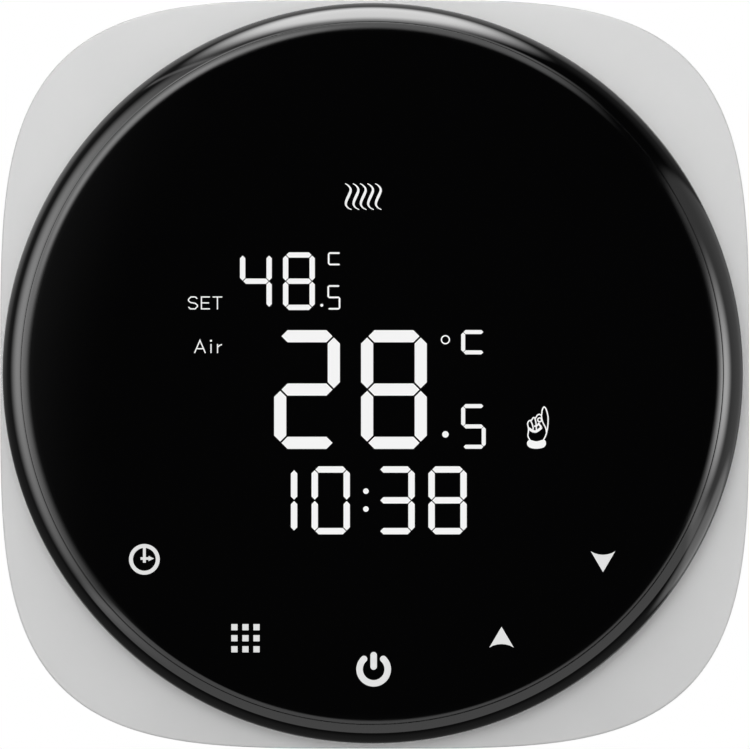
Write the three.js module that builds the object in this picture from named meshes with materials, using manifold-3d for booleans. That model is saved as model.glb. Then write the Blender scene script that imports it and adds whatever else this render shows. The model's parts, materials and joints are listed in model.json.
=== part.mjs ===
// A round-face wall thermostat on a rounded-square trim plate, with its mounting plate.
//
// Frame: millimetres, +Z up. The wall is the plane y = 0, the glass face looks along -Y and the
// rear box goes into the wall, along +Y. The origin is the middle of the wall screws' pattern.
// A place along Y is called a depth: a smaller one is nearer to the person who uses it.

import * as THREE from 'three';
import { mergeVertices } from 'three/addons/utils/BufferGeometryUtils.js';
import Module from 'manifold-3d';

const wasm = await Module();
wasm.setup();

// ---------------------------------------------------------------- driving dimensions, mm

const FIT = 0.3; // clearance between pieces that fit together
const ROUND_STEPS = 60; // sides of the large round pieces
const SMALL_STEPS = 12; // sides of pins, screws and holes

// Outside
const TRIM_WIDTH = 101; // trim plate, edge to edge
const TRIM_POWER = 3.89; // exponent of its rounded-square outline
const TRIM_HEIGHT = 8; // front of the trim plate over the wall
const TRIM_WALL = 1.8;
const TRIM_BORDER = 1.3; // trim beside the round face, where it is narrowest
const WALL_GAP = 0.5; // from the trim plate's rear edge to the wall
const FACE_HEIGHT = 16; // front of the glass over the wall
const RIM_FACE = 2.8; // rounded rim round the glass, seen from the front
const RIM_ROUND_DEPTH = 2.2; // how far the rim's rounding runs back
const RIM_DROP = 0.15; // rim's crest behind the glass
const VENT_COUNT = 7; // slots in the lower and upper edge of the trim plate
const VENT_PITCH = 4;
const VENT_WIDTH = 1.6;
const VENT_LAND = 0.8; // from the inside of the trim plate's face to the slots
const VENT_SKIRT = 1.8; // from the slots to the rear edge
const NOTCH_WIDTH = 9; // release notch in the lower edge
const NOTCH_HEIGHT = 1.2;

// Front module
const GLASS_THICKNESS = 2;
const GLASS_CHAMFER_WIDTH = 0.55;
const GLASS_CHAMFER_DEPTH = 0.35;
const ADHESIVE_THICKNESS = 0.8;
const LEDGE_WIDTH = 3; // ledge of the bezel that the glass is bonded to
const BEZEL_WALL = 1.6;
const LCD_WIDTH = 51;
const LCD_HEIGHT = 52;
const LCD_RISE = 1.9; // middle of the LCD over the middle of the face
const LCD_THICKNESS = 2.4;
const LCD_SHELF = 1.5; // lower strip of the rear LCD glass, which carries its contacts
const LCD_FRAME_WALL = 1;
const LED_TAB_SPREAD = 28; // between the light guide's two LED tabs
const LED_TAB_WIDTH = 6;
const LED_TAB_HEIGHT = 3;
const PEG_RADIUS = 0.9; // the LCD frame's pegs
const PEG_INSET = 4; // from the frame's corners
const PEG_END = 1; // how far the pegs stand out behind the board
const ZEBRA_WIDTH = 2;
const ZEBRA_INSET = 2; // from each end of the LCD
const KEY_ARC_RADIUS = 39; // the five touch keys lie on this arc
const KEY_ARC_STEP = 25.5; // degrees from one key to the next
const SPRING_RADIUS = 3;
const SPRING_WIRE = 0.6;
const SPRING_TURNS = 3;
const DISPLAY_BOARD_THICKNESS = 1.6;
const DISPLAY_PARTS_ROOM = 3.1; // between the display board and the rear housing
const CHIP_HEIGHT = 1.6;
const CHIP_LEAD = 0.5;
const CELL_RADIUS = 6.25;
const CELL_THICKNESS = 2;
const CELL_HOLDER_WALL = 0.9;
const CELL_HOLDER_FLOOR = 0.6;
const BUZZER_RADIUS = 4.5;
const BUZZER_HEIGHT = 4.5;
const SENSOR_RADIUS = 1.1;
const HEADER_PINS = 8;
const HEADER_PITCH = 2.54;
const HEADER_PIN = 0.64;
const HEADER_STRIP = 2.5;
const SOCKET_DEPTH = 8.5;
const PIN_ENGAGEMENT = 3;
const BOSS_RADIUS = 3;
const SHOULDER_RADIUS = 3.8; // the display board rests on the bosses' shoulders
const BOSS_ANGLES = [20, 160, 200, 340]; // degrees from +X
const HOUSING_SCREW_RADIUS = 1.3;
const HOUSING_SCREW_LENGTH = 9;
const HOUSING_SCREW_HEAD = 2.4;
const HOUSING_SCREW_HEAD_HEIGHT = 1;
const HOUSING_SCREW_SINK = 0.2; // head below the flange's back

// Rear housing
const FLANGE_THICKNESS = 2.2;
const FLANGE_LIP = 0.4; // flange beyond the collar that it closes
const SCREW_HEAD_ROOM = 1.2; // round a wall screw's head, in the flange
const BOX_WIDTH = 50;
const BOX_CHAMFER = 7;
const BOX_WALL = 1.6;
const POWER_BOARD_DEPTH = 11.1; // rear face of the power board behind the wall's surface
const POWER_BOARD_THICKNESS = 1.6;
const BOARD_POST_RADIUS = 1.8;
const HEAT_SLOT_COUNT = 5;
const HEAT_SLOT_PITCH = 3.6;
const HEAT_SLOT_LENGTH = 16;
const HEAT_SLOT_WIDTH = 1.4;
const HEAT_SLOT_RISE = 8;
const CATCH_WIDTH = 6; // the two catches that hold the power board's front
const CATCH_REACH = 1.2;
const CATCH_HEIGHT = 1.85;

// Mounting plate
const PLATE_THICKNESS = 1.2;
const PLATE_INSET = 4.7; // from the inside of the trim plate
const PLATE_WINDOW_GAP = 1; // round the rear box
const WALL_SCREW_MARGIN = 5; // from the rear box to the middle of a wall screw
const WALL_SLOT_WIDTH = 4.2;
const WALL_SLOT_LENGTH = 9;
const WALL_SCREW_RADIUS = 1.6;
const WALL_SCREW_LENGTH = 20;
const WALL_SCREW_HEAD = 3.3;
const WALL_SCREW_HEAD_HEIGHT = 1.8;
const TAB_INSET = 2; // from the trim plate's inner corner to the snap tab
const TAB_WIDTH = 12;
const HOOK_WIDTH = 6;
const HOOK_WALL = 1.4;
const HOOK_REACH = 0.9;
const HOOK_SLOPE = 0.6;
const TAB_EDGE = 1.2; // from the plate to the tab's window

// Terminals
const TERMINAL_COUNT = 6;
const TERMINAL_PITCH = 5.08;
const TERMINAL_HEIGHT = 11.7; // along Z
const TERMINAL_RECESS = 2; // from the back of the rear box
const TERMINAL_END_WALL = 0.8;
const CAGE_WIDTH = 3.7;
const CAGE_WALL = 0.5;
const CAGE_BACK_WALL = 1.4;
const CAGE_FRONT_WALL = 0.9;
const CAGE_HEIGHT = 5; // along the screw
const CAGE_LENGTH = 5; // along Z
const CAGE_TRAVEL = 2.5;
const CAGE_LAND = 1; // between the cage's room and the screw's seat
const TERMINAL_SCREW_RADIUS = 1.2;
const TERMINAL_SCREW_HEAD = 1.8;
const TERMINAL_SCREW_HEAD_HEIGHT = 1.6;
const TERMINAL_SCREW_SINK = 0.8;
const DRIVER_SLOT_WIDTH = 0.6;
const DRIVER_SLOT_DEPTH = 0.8;

// Power board parts
const RELAY_WIDTH = 19;
const RELAY_LENGTH = 15.5;
const RELAY_HEIGHT = 15;
const RELAY_WALL = 0.8;
const RELAY_BASE = 1.5;
const CONTACT_ROOM = 6.3; // from the armature's pivot to the outside of the case
const RELAY_GAUGE = 1; // thickness of the armature's steel
const YOKE_GAUGE = 1.2;
const YOKE_WIDTH = 8;
const COIL_RADIUS = 4.6;
const COIL_WOUND_RADIUS = 4.1;
const COIL_FLANGE = 0.7;
const CORE_RADIUS = 2;
const LEAF_GAUGE = 0.4;
const LEAF_WIDTH = 4;
const CONTACT_WIDTH = 2;
const CONTACT_FOOT = 1.4; // from the relay's base to the contact buttons
const CONTACT_GAP = 0.7; // between the open contacts
const TRANSFORMER_HEIGHT = 12;
const CORE_WIDTH = 13.4;
const CORE_THICKNESS = 6;
const CORE_LIMB = 2.2;
const CORE_STAND = 1.2; // from the board to the core
const WINDING_LENGTH = 10.2;
const WINDING_FOOT_WIDTH = 10.5;
const WINDING_FOOT = 1.8;
const CAN_RADIUS = 4;
const CAN_HEIGHT = 10.5;
const FILM_WIDTH = 6;
const FILM_LENGTH = 13;
const FILM_HEIGHT = 12;
const FUSE_RADIUS = 1.6;
const FUSE_LENGTH = 10;
const FUSE_CAP_RADIUS = 1.9;
const FUSE_CAP_LENGTH = 2.4;
const FUSE_STAND = 3; // from the board to the fuse's middle
const VARISTOR_RADIUS = 4.5;
const VARISTOR_THICKNESS = 3.6;
const VARISTOR_STAND = 5.6;

// Places of the parts on the boards, [x, z]
const CONTROLLER_PLACE = [-9, 10];
const TOUCH_CHIP_PLACE = [0, -29];
const CELL_PLACE = [0, 34];
const BUZZER_PLACE = [12, 14];
const SENSOR_PLACE = [-10, -37];
const HEADER_PLACE_Z = -9;
const RELAY_X = -5.5;
const RELAY_Z = 12.3;
const TRANSFORMER_PLACE = [-9, 6];
const CAN_X = 12;
const FILM_PLACE = [12.5, 12.3];
const FUSE_PLACE = [-20, 0];
const VARISTOR_PLACE = [11, -3];
const BOARD_POSTS = [[-19, 8], [19, 16], [-19, -8], [20.5, -8]];

// ---------------------------------------------------------------- levels along Y

const GLASS_FRONT = -FACE_HEIGHT;
const GLASS_BACK = GLASS_FRONT + GLASS_THICKNESS;
const LEDGE_FRONT = GLASS_BACK + ADHESIVE_THICKNESS;
const RIM_FRONT = GLASS_FRONT + RIM_DROP;
const TRIM_FRONT = -TRIM_HEIGHT;
const TRIM_INSIDE = TRIM_FRONT + TRIM_WALL;
const PLATE_FRONT = -PLATE_THICKNESS;
const FLANGE_BACK = PLATE_FRONT - FIT;
const FLANGE_FRONT = FLANGE_BACK - FLANGE_THICKNESS;
const HOUSING_SCREW_SEAT = FLANGE_BACK - HOUSING_SCREW_SINK - HOUSING_SCREW_HEAD_HEIGHT;
const DISPLAY_BOARD_BACK = FLANGE_FRONT - DISPLAY_PARTS_ROOM;
const DISPLAY_BOARD_FRONT = DISPLAY_BOARD_BACK - DISPLAY_BOARD_THICKNESS;
const LCD_FRONT = GLASS_BACK + FIT;
const LCD_BACK = LCD_FRONT + LCD_THICKNESS;
const POWER_BOARD_BACK = POWER_BOARD_DEPTH;
const BOX_INSIDE = POWER_BOARD_BACK + RELAY_HEIGHT + FIT;
const BOX_DEPTH = BOX_INSIDE + BOX_WALL;
const POWER_BOARD_FRONT = POWER_BOARD_BACK - POWER_BOARD_THICKNESS;
const TERMINAL_BACK = BOX_DEPTH - TERMINAL_RECESS;

// ---------------------------------------------------------------- sizes across Y

const HALF_TRIM = TRIM_WIDTH / 2;
const HALF_TRIM_INSIDE = HALF_TRIM - TRIM_WALL;
const RIM_RADIUS = HALF_TRIM - TRIM_BORDER;
const POCKET_RADIUS = RIM_RADIUS - RIM_FACE;
const GLASS_RADIUS = POCKET_RADIUS - FIT;
const BEZEL_INSIDE = POCKET_RADIUS - LEDGE_WIDTH;
const BEZEL_OUTSIDE = BEZEL_INSIDE + BEZEL_WALL;
const COLLAR_INSIDE = BEZEL_OUTSIDE + FIT;
const COLLAR_OUTSIDE = COLLAR_INSIDE + TRIM_WALL;
const BOSS_ARC_RADIUS = BEZEL_INSIDE - BOSS_RADIUS + 0.4;
const PLATE_WIDTH = 2 * (HALF_TRIM_INSIDE - PLATE_INSET);
const TRIM_CORNER = Math.SQRT2 * 0.5 ** (1 / TRIM_POWER); // diagonal reach over half width
const TAB_OUTSIDE = TRIM_CORNER * HALF_TRIM_INSIDE - TAB_INSET;
const TAB_INSIDE = TAB_OUTSIDE - PLATE_THICKNESS;
const BOX_HALF_INSIDE = BOX_WIDTH / 2 - BOX_WALL;
const BOX_INNER_CHAMFER = BOX_CHAMFER - 0.6 * BOX_WALL; // keeps the wall even round the corner
const WALL_SCREW_PITCH = BOX_WIDTH + 2 * WALL_SCREW_MARGIN;
const TERMINAL_WIDTH = TERMINAL_COUNT * TERMINAL_PITCH + 2 * TERMINAL_END_WALL;
const TERMINAL_BOTTOM = -BOX_WIDTH / 2 + FIT;
const TERMINAL_TOP = TERMINAL_BOTTOM + TERMINAL_HEIGHT;
const TERMINAL_MIDDLE = (TERMINAL_BOTTOM + TERMINAL_TOP) / 2;

// ---------------------------------------------------------------- geometry helpers

// A closed geometry as a solid for cuts and joins, with its faces turned outwards.
function solidOf(geometry) {
  const bare = new THREE.BufferGeometry();
  bare.setAttribute('position', geometry.getAttribute('position').clone());
  bare.setIndex(geometry.getIndex());
  const merged = mergeVertices(bare, 1e-4);
  const corners = merged.getIndex().array;
  const triVerts = [];
  for (let i = 0; i < corners.length; i += 3) {
    const [a, b, c] = corners.slice(i, i + 3);
    if (a !== b && b !== c && c !== a) triVerts.push(a, b, c);
  }
  const vertProperties = new Float32Array(merged.getAttribute('position').array);
  const make = (list) => new wasm.Manifold(
    new wasm.Mesh({ numProp: 3, vertProperties, triVerts: new Uint32Array(list) }),
  );
  const made = make(triVerts);
  return made.volume() > 0 ? made : make(triVerts.reverse());
}

function geometryOf(solid) {
  const mesh = solid.getMesh();
  const geometry = new THREE.BufferGeometry();
  geometry.setAttribute('position', new THREE.BufferAttribute(mesh.vertProperties, 3));
  geometry.setIndex(new THREE.BufferAttribute(mesh.triVerts, 1));
  return geometry;
}

function join(...pieces) {
  return geometryOf(pieces.map(solidOf).reduce((all, piece) => all.add(piece)));
}

function cut(piece, ...tools) {
  return geometryOf(tools.map(solidOf).reduce((rest, tool) => rest.subtract(tool), solidOf(piece)));
}

function block(x0, x1, y0, y1, z0, z1) {
  const box = new THREE.BoxGeometry(x1 - x0, y1 - y0, z1 - z0);
  return box.translate((x0 + x1) / 2, (y0 + y1) / 2, (z0 + z1) / 2);
}

// A block given by its middle in X and Z, and its front and back.
function brick(x, z, width, height, front, back) {
  return block(x - width / 2, x + width / 2, front, back, z - height / 2, z + height / 2);
}

// A round bar along Y.
function rod(x, z, radius, front, back, steps = SMALL_STEPS) {
  const bar = new THREE.CylinderGeometry(radius, radius, back - front, steps);
  return bar.translate(x, (front + back) / 2, z);
}

// A solid of revolution about Y from [radius, depth] points, closed on itself or at the axis.
function turned(profile, steps = ROUND_STEPS) {
  const points = profile.map(([radius, depth]) => new THREE.Vector2(radius, depth));
  if (profile[0][0] > 0) points.push(points[0].clone());
  return new THREE.LatheGeometry(points, steps);
}

function ring(inside, outside, front, back, steps = ROUND_STEPS) {
  return turned([[inside, front], [outside, front], [outside, back], [inside, back]], steps);
}

// A flat outline in X and Z, given thickness from front to back.
function slab(shape, front, back, curveSegments = 12) {
  const options = { depth: back - front, bevelEnabled: false, curveSegments };
  const plate = new THREE.ExtrudeGeometry(shape, options);
  return plate.rotateX(Math.PI / 2).translate(0, back, 0);
}

function polygon(points) {
  return new THREE.Shape(points.map(([x, z]) => new THREE.Vector2(x, z)));
}

function chamferedSquare(width, chamfer) {
  const far = width / 2;
  const near = far - chamfer;
  return polygon([
    [near, -far], [far, -near], [far, near], [near, far],
    [-near, far], [-far, near], [-far, -near], [-near, -far],
  ]);
}

// The trim plate's outline: a superellipse, |x|^n + |z|^n = half^n.
function roundedSquare(half, steps = 80) {
  const reach = (value) => Math.sign(value) * Math.abs(value) ** (2 / TRIM_POWER) * half;
  const points = [];
  for (let i = 0; i < steps; i += 1) {
    const angle = (i / steps) * 2 * Math.PI;
    points.push([reach(Math.cos(angle)), reach(Math.sin(angle))]);
  }
  return polygon(points);
}

// A slot with round ends, along X or Z.
function slotShape(x, z, length, width, alongX) {
  const straight = (length - width) / 2;
  const turn = alongX ? 0 : Math.PI / 2;
  const shape = new THREE.Shape();
  const end = [Math.cos(turn) * straight, Math.sin(turn) * straight];
  shape.absarc(x + end[0], z + end[1], width / 2, turn - Math.PI / 2, turn + Math.PI / 2, false);
  shape.absarc(x - end[0], z - end[1], width / 2, turn + Math.PI / 2, turn + 1.5 * Math.PI, false);
  return shape;
}

function polar(radius, degrees) {
  const angle = THREE.MathUtils.degToRad(degrees);
  return [radius * Math.cos(angle), radius * Math.sin(angle)];
}

// ---------------------------------------------------------------- the assembly

const thermostat = new THREE.Group();

const finishes = {
  whitePlastic: { color: 0xd9d9d6, roughness: 0.45, metalness: 0 },
  blackGloss: { color: 0x050506, roughness: 0.08, metalness: 0 },
  blackPlastic: { color: 0x1a1a1c, roughness: 0.5, metalness: 0 },
  foam: { color: 0x0b0b0b, roughness: 0.9, metalness: 0 },
  lcd: { color: 0x14181c, roughness: 0.15, metalness: 0 },
  diffuser: { color: 0xf4f6f8, roughness: 0.6, metalness: 0 },
  boardGreen: { color: 0x1d5a35, roughness: 0.5, metalness: 0 },
  chip: { color: 0x202022, roughness: 0.6, metalness: 0 },
  steel: { color: 0xb9bcc0, roughness: 0.35, metalness: 1 },
  brass: { color: 0xc9a860, roughness: 0.35, metalness: 1 },
  copper: { color: 0xb4693a, roughness: 0.4, metalness: 1 },
  ferrite: { color: 0x3a3a3d, roughness: 0.7, metalness: 0 },
  terminalGreen: { color: 0x2f8f58, roughness: 0.5, metalness: 0 },
  relayBlue: { color: 0x1f4f9c, roughness: 0.4, metalness: 0 },
  capSleeve: { color: 0x16202c, roughness: 0.4, metalness: 0 },
  capBox: { color: 0xc9b24a, roughness: 0.5, metalness: 0 },
  varistorBlue: { color: 0x2b5ca8, roughness: 0.5, metalness: 0 },
  ceramic: { color: 0xe6e0d2, roughness: 0.5, metalness: 0 },
};

function place(name, finish, geometry) {
  const flat = geometry.index ? geometry.toNonIndexed() : geometry;
  flat.computeVertexNormals();
  const mesh = new THREE.Mesh(flat, new THREE.MeshStandardMaterial(finishes[finish]));
  mesh.name = name;
  thermostat.add(mesh);
}

const bossPlaces = BOSS_ANGLES.map((angle) => polar(BOSS_ARC_RADIUS, angle));

// ---------------------------------------------------------------- front module

function touchGlass() {
  return turned([
    [0, GLASS_FRONT],
    [GLASS_RADIUS - GLASS_CHAMFER_WIDTH, GLASS_FRONT],
    [GLASS_RADIUS, GLASS_FRONT + GLASS_CHAMFER_DEPTH],
    [GLASS_RADIUS, GLASS_BACK],
    [0, GLASS_BACK],
  ]);
}

// A ring with a rounded front rim, a ledge for the glass, a narrower skirt that passes through
// the trim plate, and four screw bosses inside.
function frontBezel() {
  const rimSteps = 5;
  const rimWidth = RIM_FACE - FIT;
  const profile = [[POCKET_RADIUS, RIM_FRONT]];
  for (let i = 0; i <= rimSteps; i += 1) {
    const angle = (i / rimSteps) * (Math.PI / 2);
    profile.push([
      RIM_RADIUS - rimWidth + rimWidth * Math.sin(angle),
      RIM_FRONT + RIM_ROUND_DEPTH * (1 - Math.cos(angle)),
    ]);
  }
  profile.push(
    [RIM_RADIUS, TRIM_FRONT - FIT],
    [BEZEL_OUTSIDE, TRIM_FRONT - FIT],
    [BEZEL_OUTSIDE, FLANGE_FRONT],
    [BEZEL_INSIDE, FLANGE_FRONT],
    [BEZEL_INSIDE, LEDGE_FRONT],
    [POCKET_RADIUS, LEDGE_FRONT],
  );
  const bosses = [];
  const holes = [];
  for (const [x, z] of bossPlaces) {
    const holeFront = FLANGE_FRONT - HOUSING_SCREW_LENGTH;
    bosses.push(rod(x, z, SHOULDER_RADIUS, LEDGE_FRONT, DISPLAY_BOARD_FRONT));
    bosses.push(rod(x, z, BOSS_RADIUS, DISPLAY_BOARD_FRONT, FLANGE_FRONT));
    holes.push(rod(x, z, HOUSING_SCREW_RADIUS + FIT, holeFront, FLANGE_FRONT + 1));
  }
  return cut(join(turned(profile), ...bosses), ...holes);
}

function lcdPanel() {
  const top = LCD_RISE + LCD_HEIGHT / 2;
  const bottom = LCD_RISE - LCD_HEIGHT / 2;
  const split = (LCD_FRONT + LCD_BACK) / 2;
  const half = LCD_WIDTH / 2;
  return join(
    block(-half, half, LCD_FRONT, split, bottom + LCD_SHELF, top),
    block(-half, half, split, LCD_BACK, bottom, top),
  );
}

// The light guide lies behind the LCD, above the contact strip, with two LED tabs at its top.
function lcdBacklight() {
  const half = LCD_WIDTH / 2;
  const top = LCD_RISE + LCD_HEIGHT / 2;
  const bottom = LCD_RISE - LCD_HEIGHT / 2 + FIT + ZEBRA_WIDTH + FIT;
  const back = DISPLAY_BOARD_FRONT - FIT;
  const tabs = [-1, 1].map((side) => brick(
    side * LED_TAB_SPREAD / 2, top - LED_TAB_HEIGHT / 2 - FIT,
    LED_TAB_WIDTH, LED_TAB_HEIGHT, back - FIT, DISPLAY_BOARD_FRONT,
  ));
  return join(block(-half, half, LCD_BACK + FIT, back, bottom, top), ...tabs);
}

const frameHalfWidth = LCD_WIDTH / 2 + FIT + LCD_FRAME_WALL;
const frameHalfHeight = LCD_HEIGHT / 2 + FIT + LCD_FRAME_WALL;
const pegPlaces = [-1, 1].flatMap((side) => [-1, 1].map((end) => [
  side * (frameHalfWidth - LCD_FRAME_WALL / 2),
  LCD_RISE + end * (frameHalfHeight - PEG_INSET),
]));

// A thin frame round the LCD, with four pegs that go through the display board.
function lcdFrame() {
  const outer = brick(
    0, LCD_RISE, 2 * frameHalfWidth, 2 * frameHalfHeight, LCD_FRONT, DISPLAY_BOARD_FRONT,
  );
  const inner = brick(
    0, LCD_RISE, LCD_WIDTH + 2 * FIT, LCD_HEIGHT + 2 * FIT, LCD_FRONT - 1, DISPLAY_BOARD_FRONT + 1,
  );
  const pegRoot = DISPLAY_BOARD_FRONT - FIT / 2;
  const pegEnd = DISPLAY_BOARD_BACK + PEG_END;
  const pegs = pegPlaces.map(([x, z]) => rod(x, z, PEG_RADIUS, pegRoot, pegEnd, 10));
  return join(cut(outer, inner), ...pegs);
}

// The rubber contact strip from the LCD's shelf to the board.
function zebraStrip() {
  const bottom = LCD_RISE - LCD_HEIGHT / 2 + FIT;
  const half = LCD_WIDTH / 2 - ZEBRA_INSET;
  return block(-half, half, LCD_BACK, DISPLAY_BOARD_FRONT, bottom, bottom + ZEBRA_WIDTH);
}

function displayBoard() {
  const radius = BEZEL_INSIDE - FIT;
  const disc = rod(0, 0, radius, DISPLAY_BOARD_FRONT, DISPLAY_BOARD_BACK, ROUND_STEPS);
  const through = [DISPLAY_BOARD_FRONT - 1, DISPLAY_BOARD_BACK + 1];
  const notches = bossPlaces.map(([x, z]) => rod(x, z, BOSS_RADIUS + FIT, ...through));
  const pegHoles = pegPlaces.map(([x, z]) => rod(x, z, PEG_RADIUS + FIT, ...through, 10));
  return cut(disc, ...notches, ...pegHoles);
}

// A touch key's coil spring, standing on the board against the back of the glass.
function touchSpring(x, z) {
  const coilRadius = SPRING_RADIUS - SPRING_WIRE / 2;
  const front = GLASS_BACK + FIT / 2 + SPRING_WIRE / 2;
  const back = DISPLAY_BOARD_FRONT - FIT / 2 - SPRING_WIRE / 2;
  const stepsPerTurn = 8;
  const steps = Math.round(SPRING_TURNS * stepsPerTurn);
  const points = [];
  for (let i = 0; i <= steps; i += 1) {
    const angle = (i / stepsPerTurn) * 2 * Math.PI;
    points.push(new THREE.Vector3(
      x + coilRadius * Math.cos(angle),
      front + (back - front) * (i / steps),
      z + coilRadius * Math.sin(angle),
    ));
  }
  const section = new THREE.Shape();
  section.absarc(0, 0, SPRING_WIRE / 2, 0, 2 * Math.PI, false);
  const extrudePath = new THREE.CatmullRomCurve3(points);
  return new THREE.ExtrudeGeometry(section, { steps, extrudePath, curveSegments: 3 });
}

// A chip with leads along two or four of its sides, lying on the back of the display board.
function chip([x, z], width, height, leadsAlongX, leadsAlongZ) {
  const front = DISPLAY_BOARD_BACK;
  const leadBack = front + CHIP_HEIGHT / 2;
  const spread = 2; // of the leads, both sides together
  const pieces = [brick(x, z, width, height, front + FIT / 2, front + CHIP_HEIGHT)];
  const row = (count, length, put) => {
    const pitch = length / (count + 1);
    for (let i = 1; i <= count; i += 1) put(-length / 2 + i * pitch);
  };
  row(leadsAlongX, width, (along) => {
    pieces.push(brick(x + along, z, CHIP_LEAD, height + spread, front, leadBack));
  });
  row(leadsAlongZ, height, (along) => {
    pieces.push(brick(x, z + along, width + spread, CHIP_LEAD, front, leadBack));
  });
  return join(...pieces);
}

function cellHolder() {
  const [x, z] = CELL_PLACE;
  const front = DISPLAY_BOARD_BACK;
  const floor = front + CELL_HOLDER_FLOOR;
  const back = floor + CELL_THICKNESS;
  const body = rod(x, z, CELL_RADIUS + FIT + CELL_HOLDER_WALL, front, back, 24);
  const pocket = rod(x, z, CELL_RADIUS + FIT, floor, back + 1, 24);
  const thumbGap = brick(x, z + CELL_RADIUS, CELL_RADIUS, 5, floor, back + 1);
  return cut(body, pocket, thumbGap);
}

function coinCell() {
  const [x, z] = CELL_PLACE;
  const front = DISPLAY_BOARD_BACK + CELL_HOLDER_FLOOR;
  const back = front + CELL_THICKNESS;
  const shoulder = 0.2 * CELL_THICKNESS;
  return join(
    rod(x, z, CELL_RADIUS, front, back - shoulder, 24),
    rod(x, z, CELL_RADIUS - 2 * shoulder, front, back, 24),
  );
}

function buzzer() {
  const [x, z] = BUZZER_PLACE;
  const front = DISPLAY_BOARD_BACK;
  const back = front + BUZZER_HEIGHT;
  const hole = rod(x, z, BUZZER_RADIUS / 5, back - BUZZER_HEIGHT / 3, back + 1, 12);
  return cut(rod(x, z, BUZZER_RADIUS, front, back, 20), hole);
}

// The room sensor: a bead on two legs near the lower vents.
function airSensor() {
  const [x, z] = SENSOR_PLACE;
  const front = DISPLAY_BOARD_BACK;
  const wire = 0.4;
  const legLength = 3;
  const legBack = front + SENSOR_RADIUS + wire;
  const bead = new THREE.SphereGeometry(SENSOR_RADIUS, 10, 7);
  bead.translate(x, legBack, z - legLength / 2);
  const legs = [-1, 1].flatMap((side) => {
    const legX = x + side * (SENSOR_RADIUS - wire);
    return [
      brick(legX, z, wire, legLength, legBack - wire, legBack),
      brick(legX, z + (legLength - wire) / 2, wire, wire, front, legBack),
    ];
  });
  return join(bead, ...legs);
}

const headerLength = HEADER_PINS * HEADER_PITCH;
const socketFront = POWER_BOARD_FRONT - SOCKET_DEPTH;

function headerPins(width, front, back) {
  const pins = [];
  for (let i = 0; i < HEADER_PINS; i += 1) {
    const x = (i - (HEADER_PINS - 1) / 2) * HEADER_PITCH;
    pins.push(brick(x, HEADER_PLACE_Z, width, width, front, back));
  }
  return pins;
}

function boardHeader() {
  const front = DISPLAY_BOARD_BACK;
  const back = front + HEADER_STRIP;
  const strip = brick(0, HEADER_PLACE_Z, headerLength, HEADER_PITCH, front, back);
  return join(strip, ...headerPins(HEADER_PIN, front + 1, socketFront + PIN_ENGAGEMENT));
}

function boardSocket() {
  const body = brick(
    0, HEADER_PLACE_Z, headerLength, HEADER_PITCH, socketFront, POWER_BOARD_FRONT,
  );
  const holeBack = socketFront + PIN_ENGAGEMENT + 1;
  return cut(body, ...headerPins(HEADER_PIN + 2 * FIT, socketFront - 1, holeBack));
}

// ---------------------------------------------------------------- trim plate

// The rounded-square cover, with a collar that the bezel passes through, and a snap hook in
// each corner. The hooks stop just short of the mounting plate's tabs.
function trimPlate() {
  const shell = cut(
    slab(roundedSquare(HALF_TRIM), TRIM_FRONT, -WALL_GAP),
    slab(roundedSquare(HALF_TRIM_INSIDE), TRIM_INSIDE, 1),
  );
  const collar = rod(0, 0, COLLAR_OUTSIDE, TRIM_FRONT, FLANGE_FRONT, ROUND_STEPS);
  const opening = rod(0, 0, COLLAR_INSIDE, TRIM_FRONT - 1, 1, ROUND_STEPS);
  const hookFoot = (TRIM_FRONT + TRIM_INSIDE) / 2;
  const hookEnd = FLANGE_BACK - WALL_GAP;
  const hookTip = TAB_INSIDE - FIT;
  const hookFace = hookTip - HOOK_REACH;
  const noseFront = tabWindow.front + FIT;
  const outline = polygon([
    [hookFace - HOOK_WALL, hookFoot],
    [hookFace, hookFoot],
    [hookFace, noseFront],
    [hookTip, noseFront + HOOK_SLOPE],
    [hookFace + HOOK_SLOPE / 3, hookEnd],
    [hookFace - HOOK_WALL, hookEnd],
  ]);
  const hooks = [45, 135, 225, 315].map((angle) => {
    const hook = new THREE.ExtrudeGeometry(outline, { depth: HOOK_WIDTH, bevelEnabled: false });
    return hook.translate(0, 0, -HOOK_WIDTH / 2).rotateY(THREE.MathUtils.degToRad(angle));
  });
  const vents = [];
  const ventFront = TRIM_INSIDE + VENT_LAND;
  const ventBack = -WALL_GAP - VENT_SKIRT;
  for (let i = 0; i < VENT_COUNT; i += 1) {
    const x = (i - (VENT_COUNT - 1) / 2) * VENT_PITCH;
    for (const side of [-1, 1]) {
      const z = side * HALF_TRIM;
      vents.push(brick(x, z, VENT_WIDTH, 4 * TRIM_WALL, ventFront, ventBack));
    }
  }
  const notchFront = -WALL_GAP - NOTCH_HEIGHT;
  const releaseNotch = brick(0, -HALF_TRIM, NOTCH_WIDTH, 4 * TRIM_WALL, notchFront, 1);
  return cut(join(shell, collar, ...hooks), opening, releaseNotch, ...vents);
}

// ---------------------------------------------------------------- rear housing

const wallScrewPlaces = [-1, 1].map((side) => [side * WALL_SCREW_PITCH / 2, 0]);
const spareSlotPlaces = [-1, 1].map((side) => [0, side * WALL_SCREW_PITCH / 2]);

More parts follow.
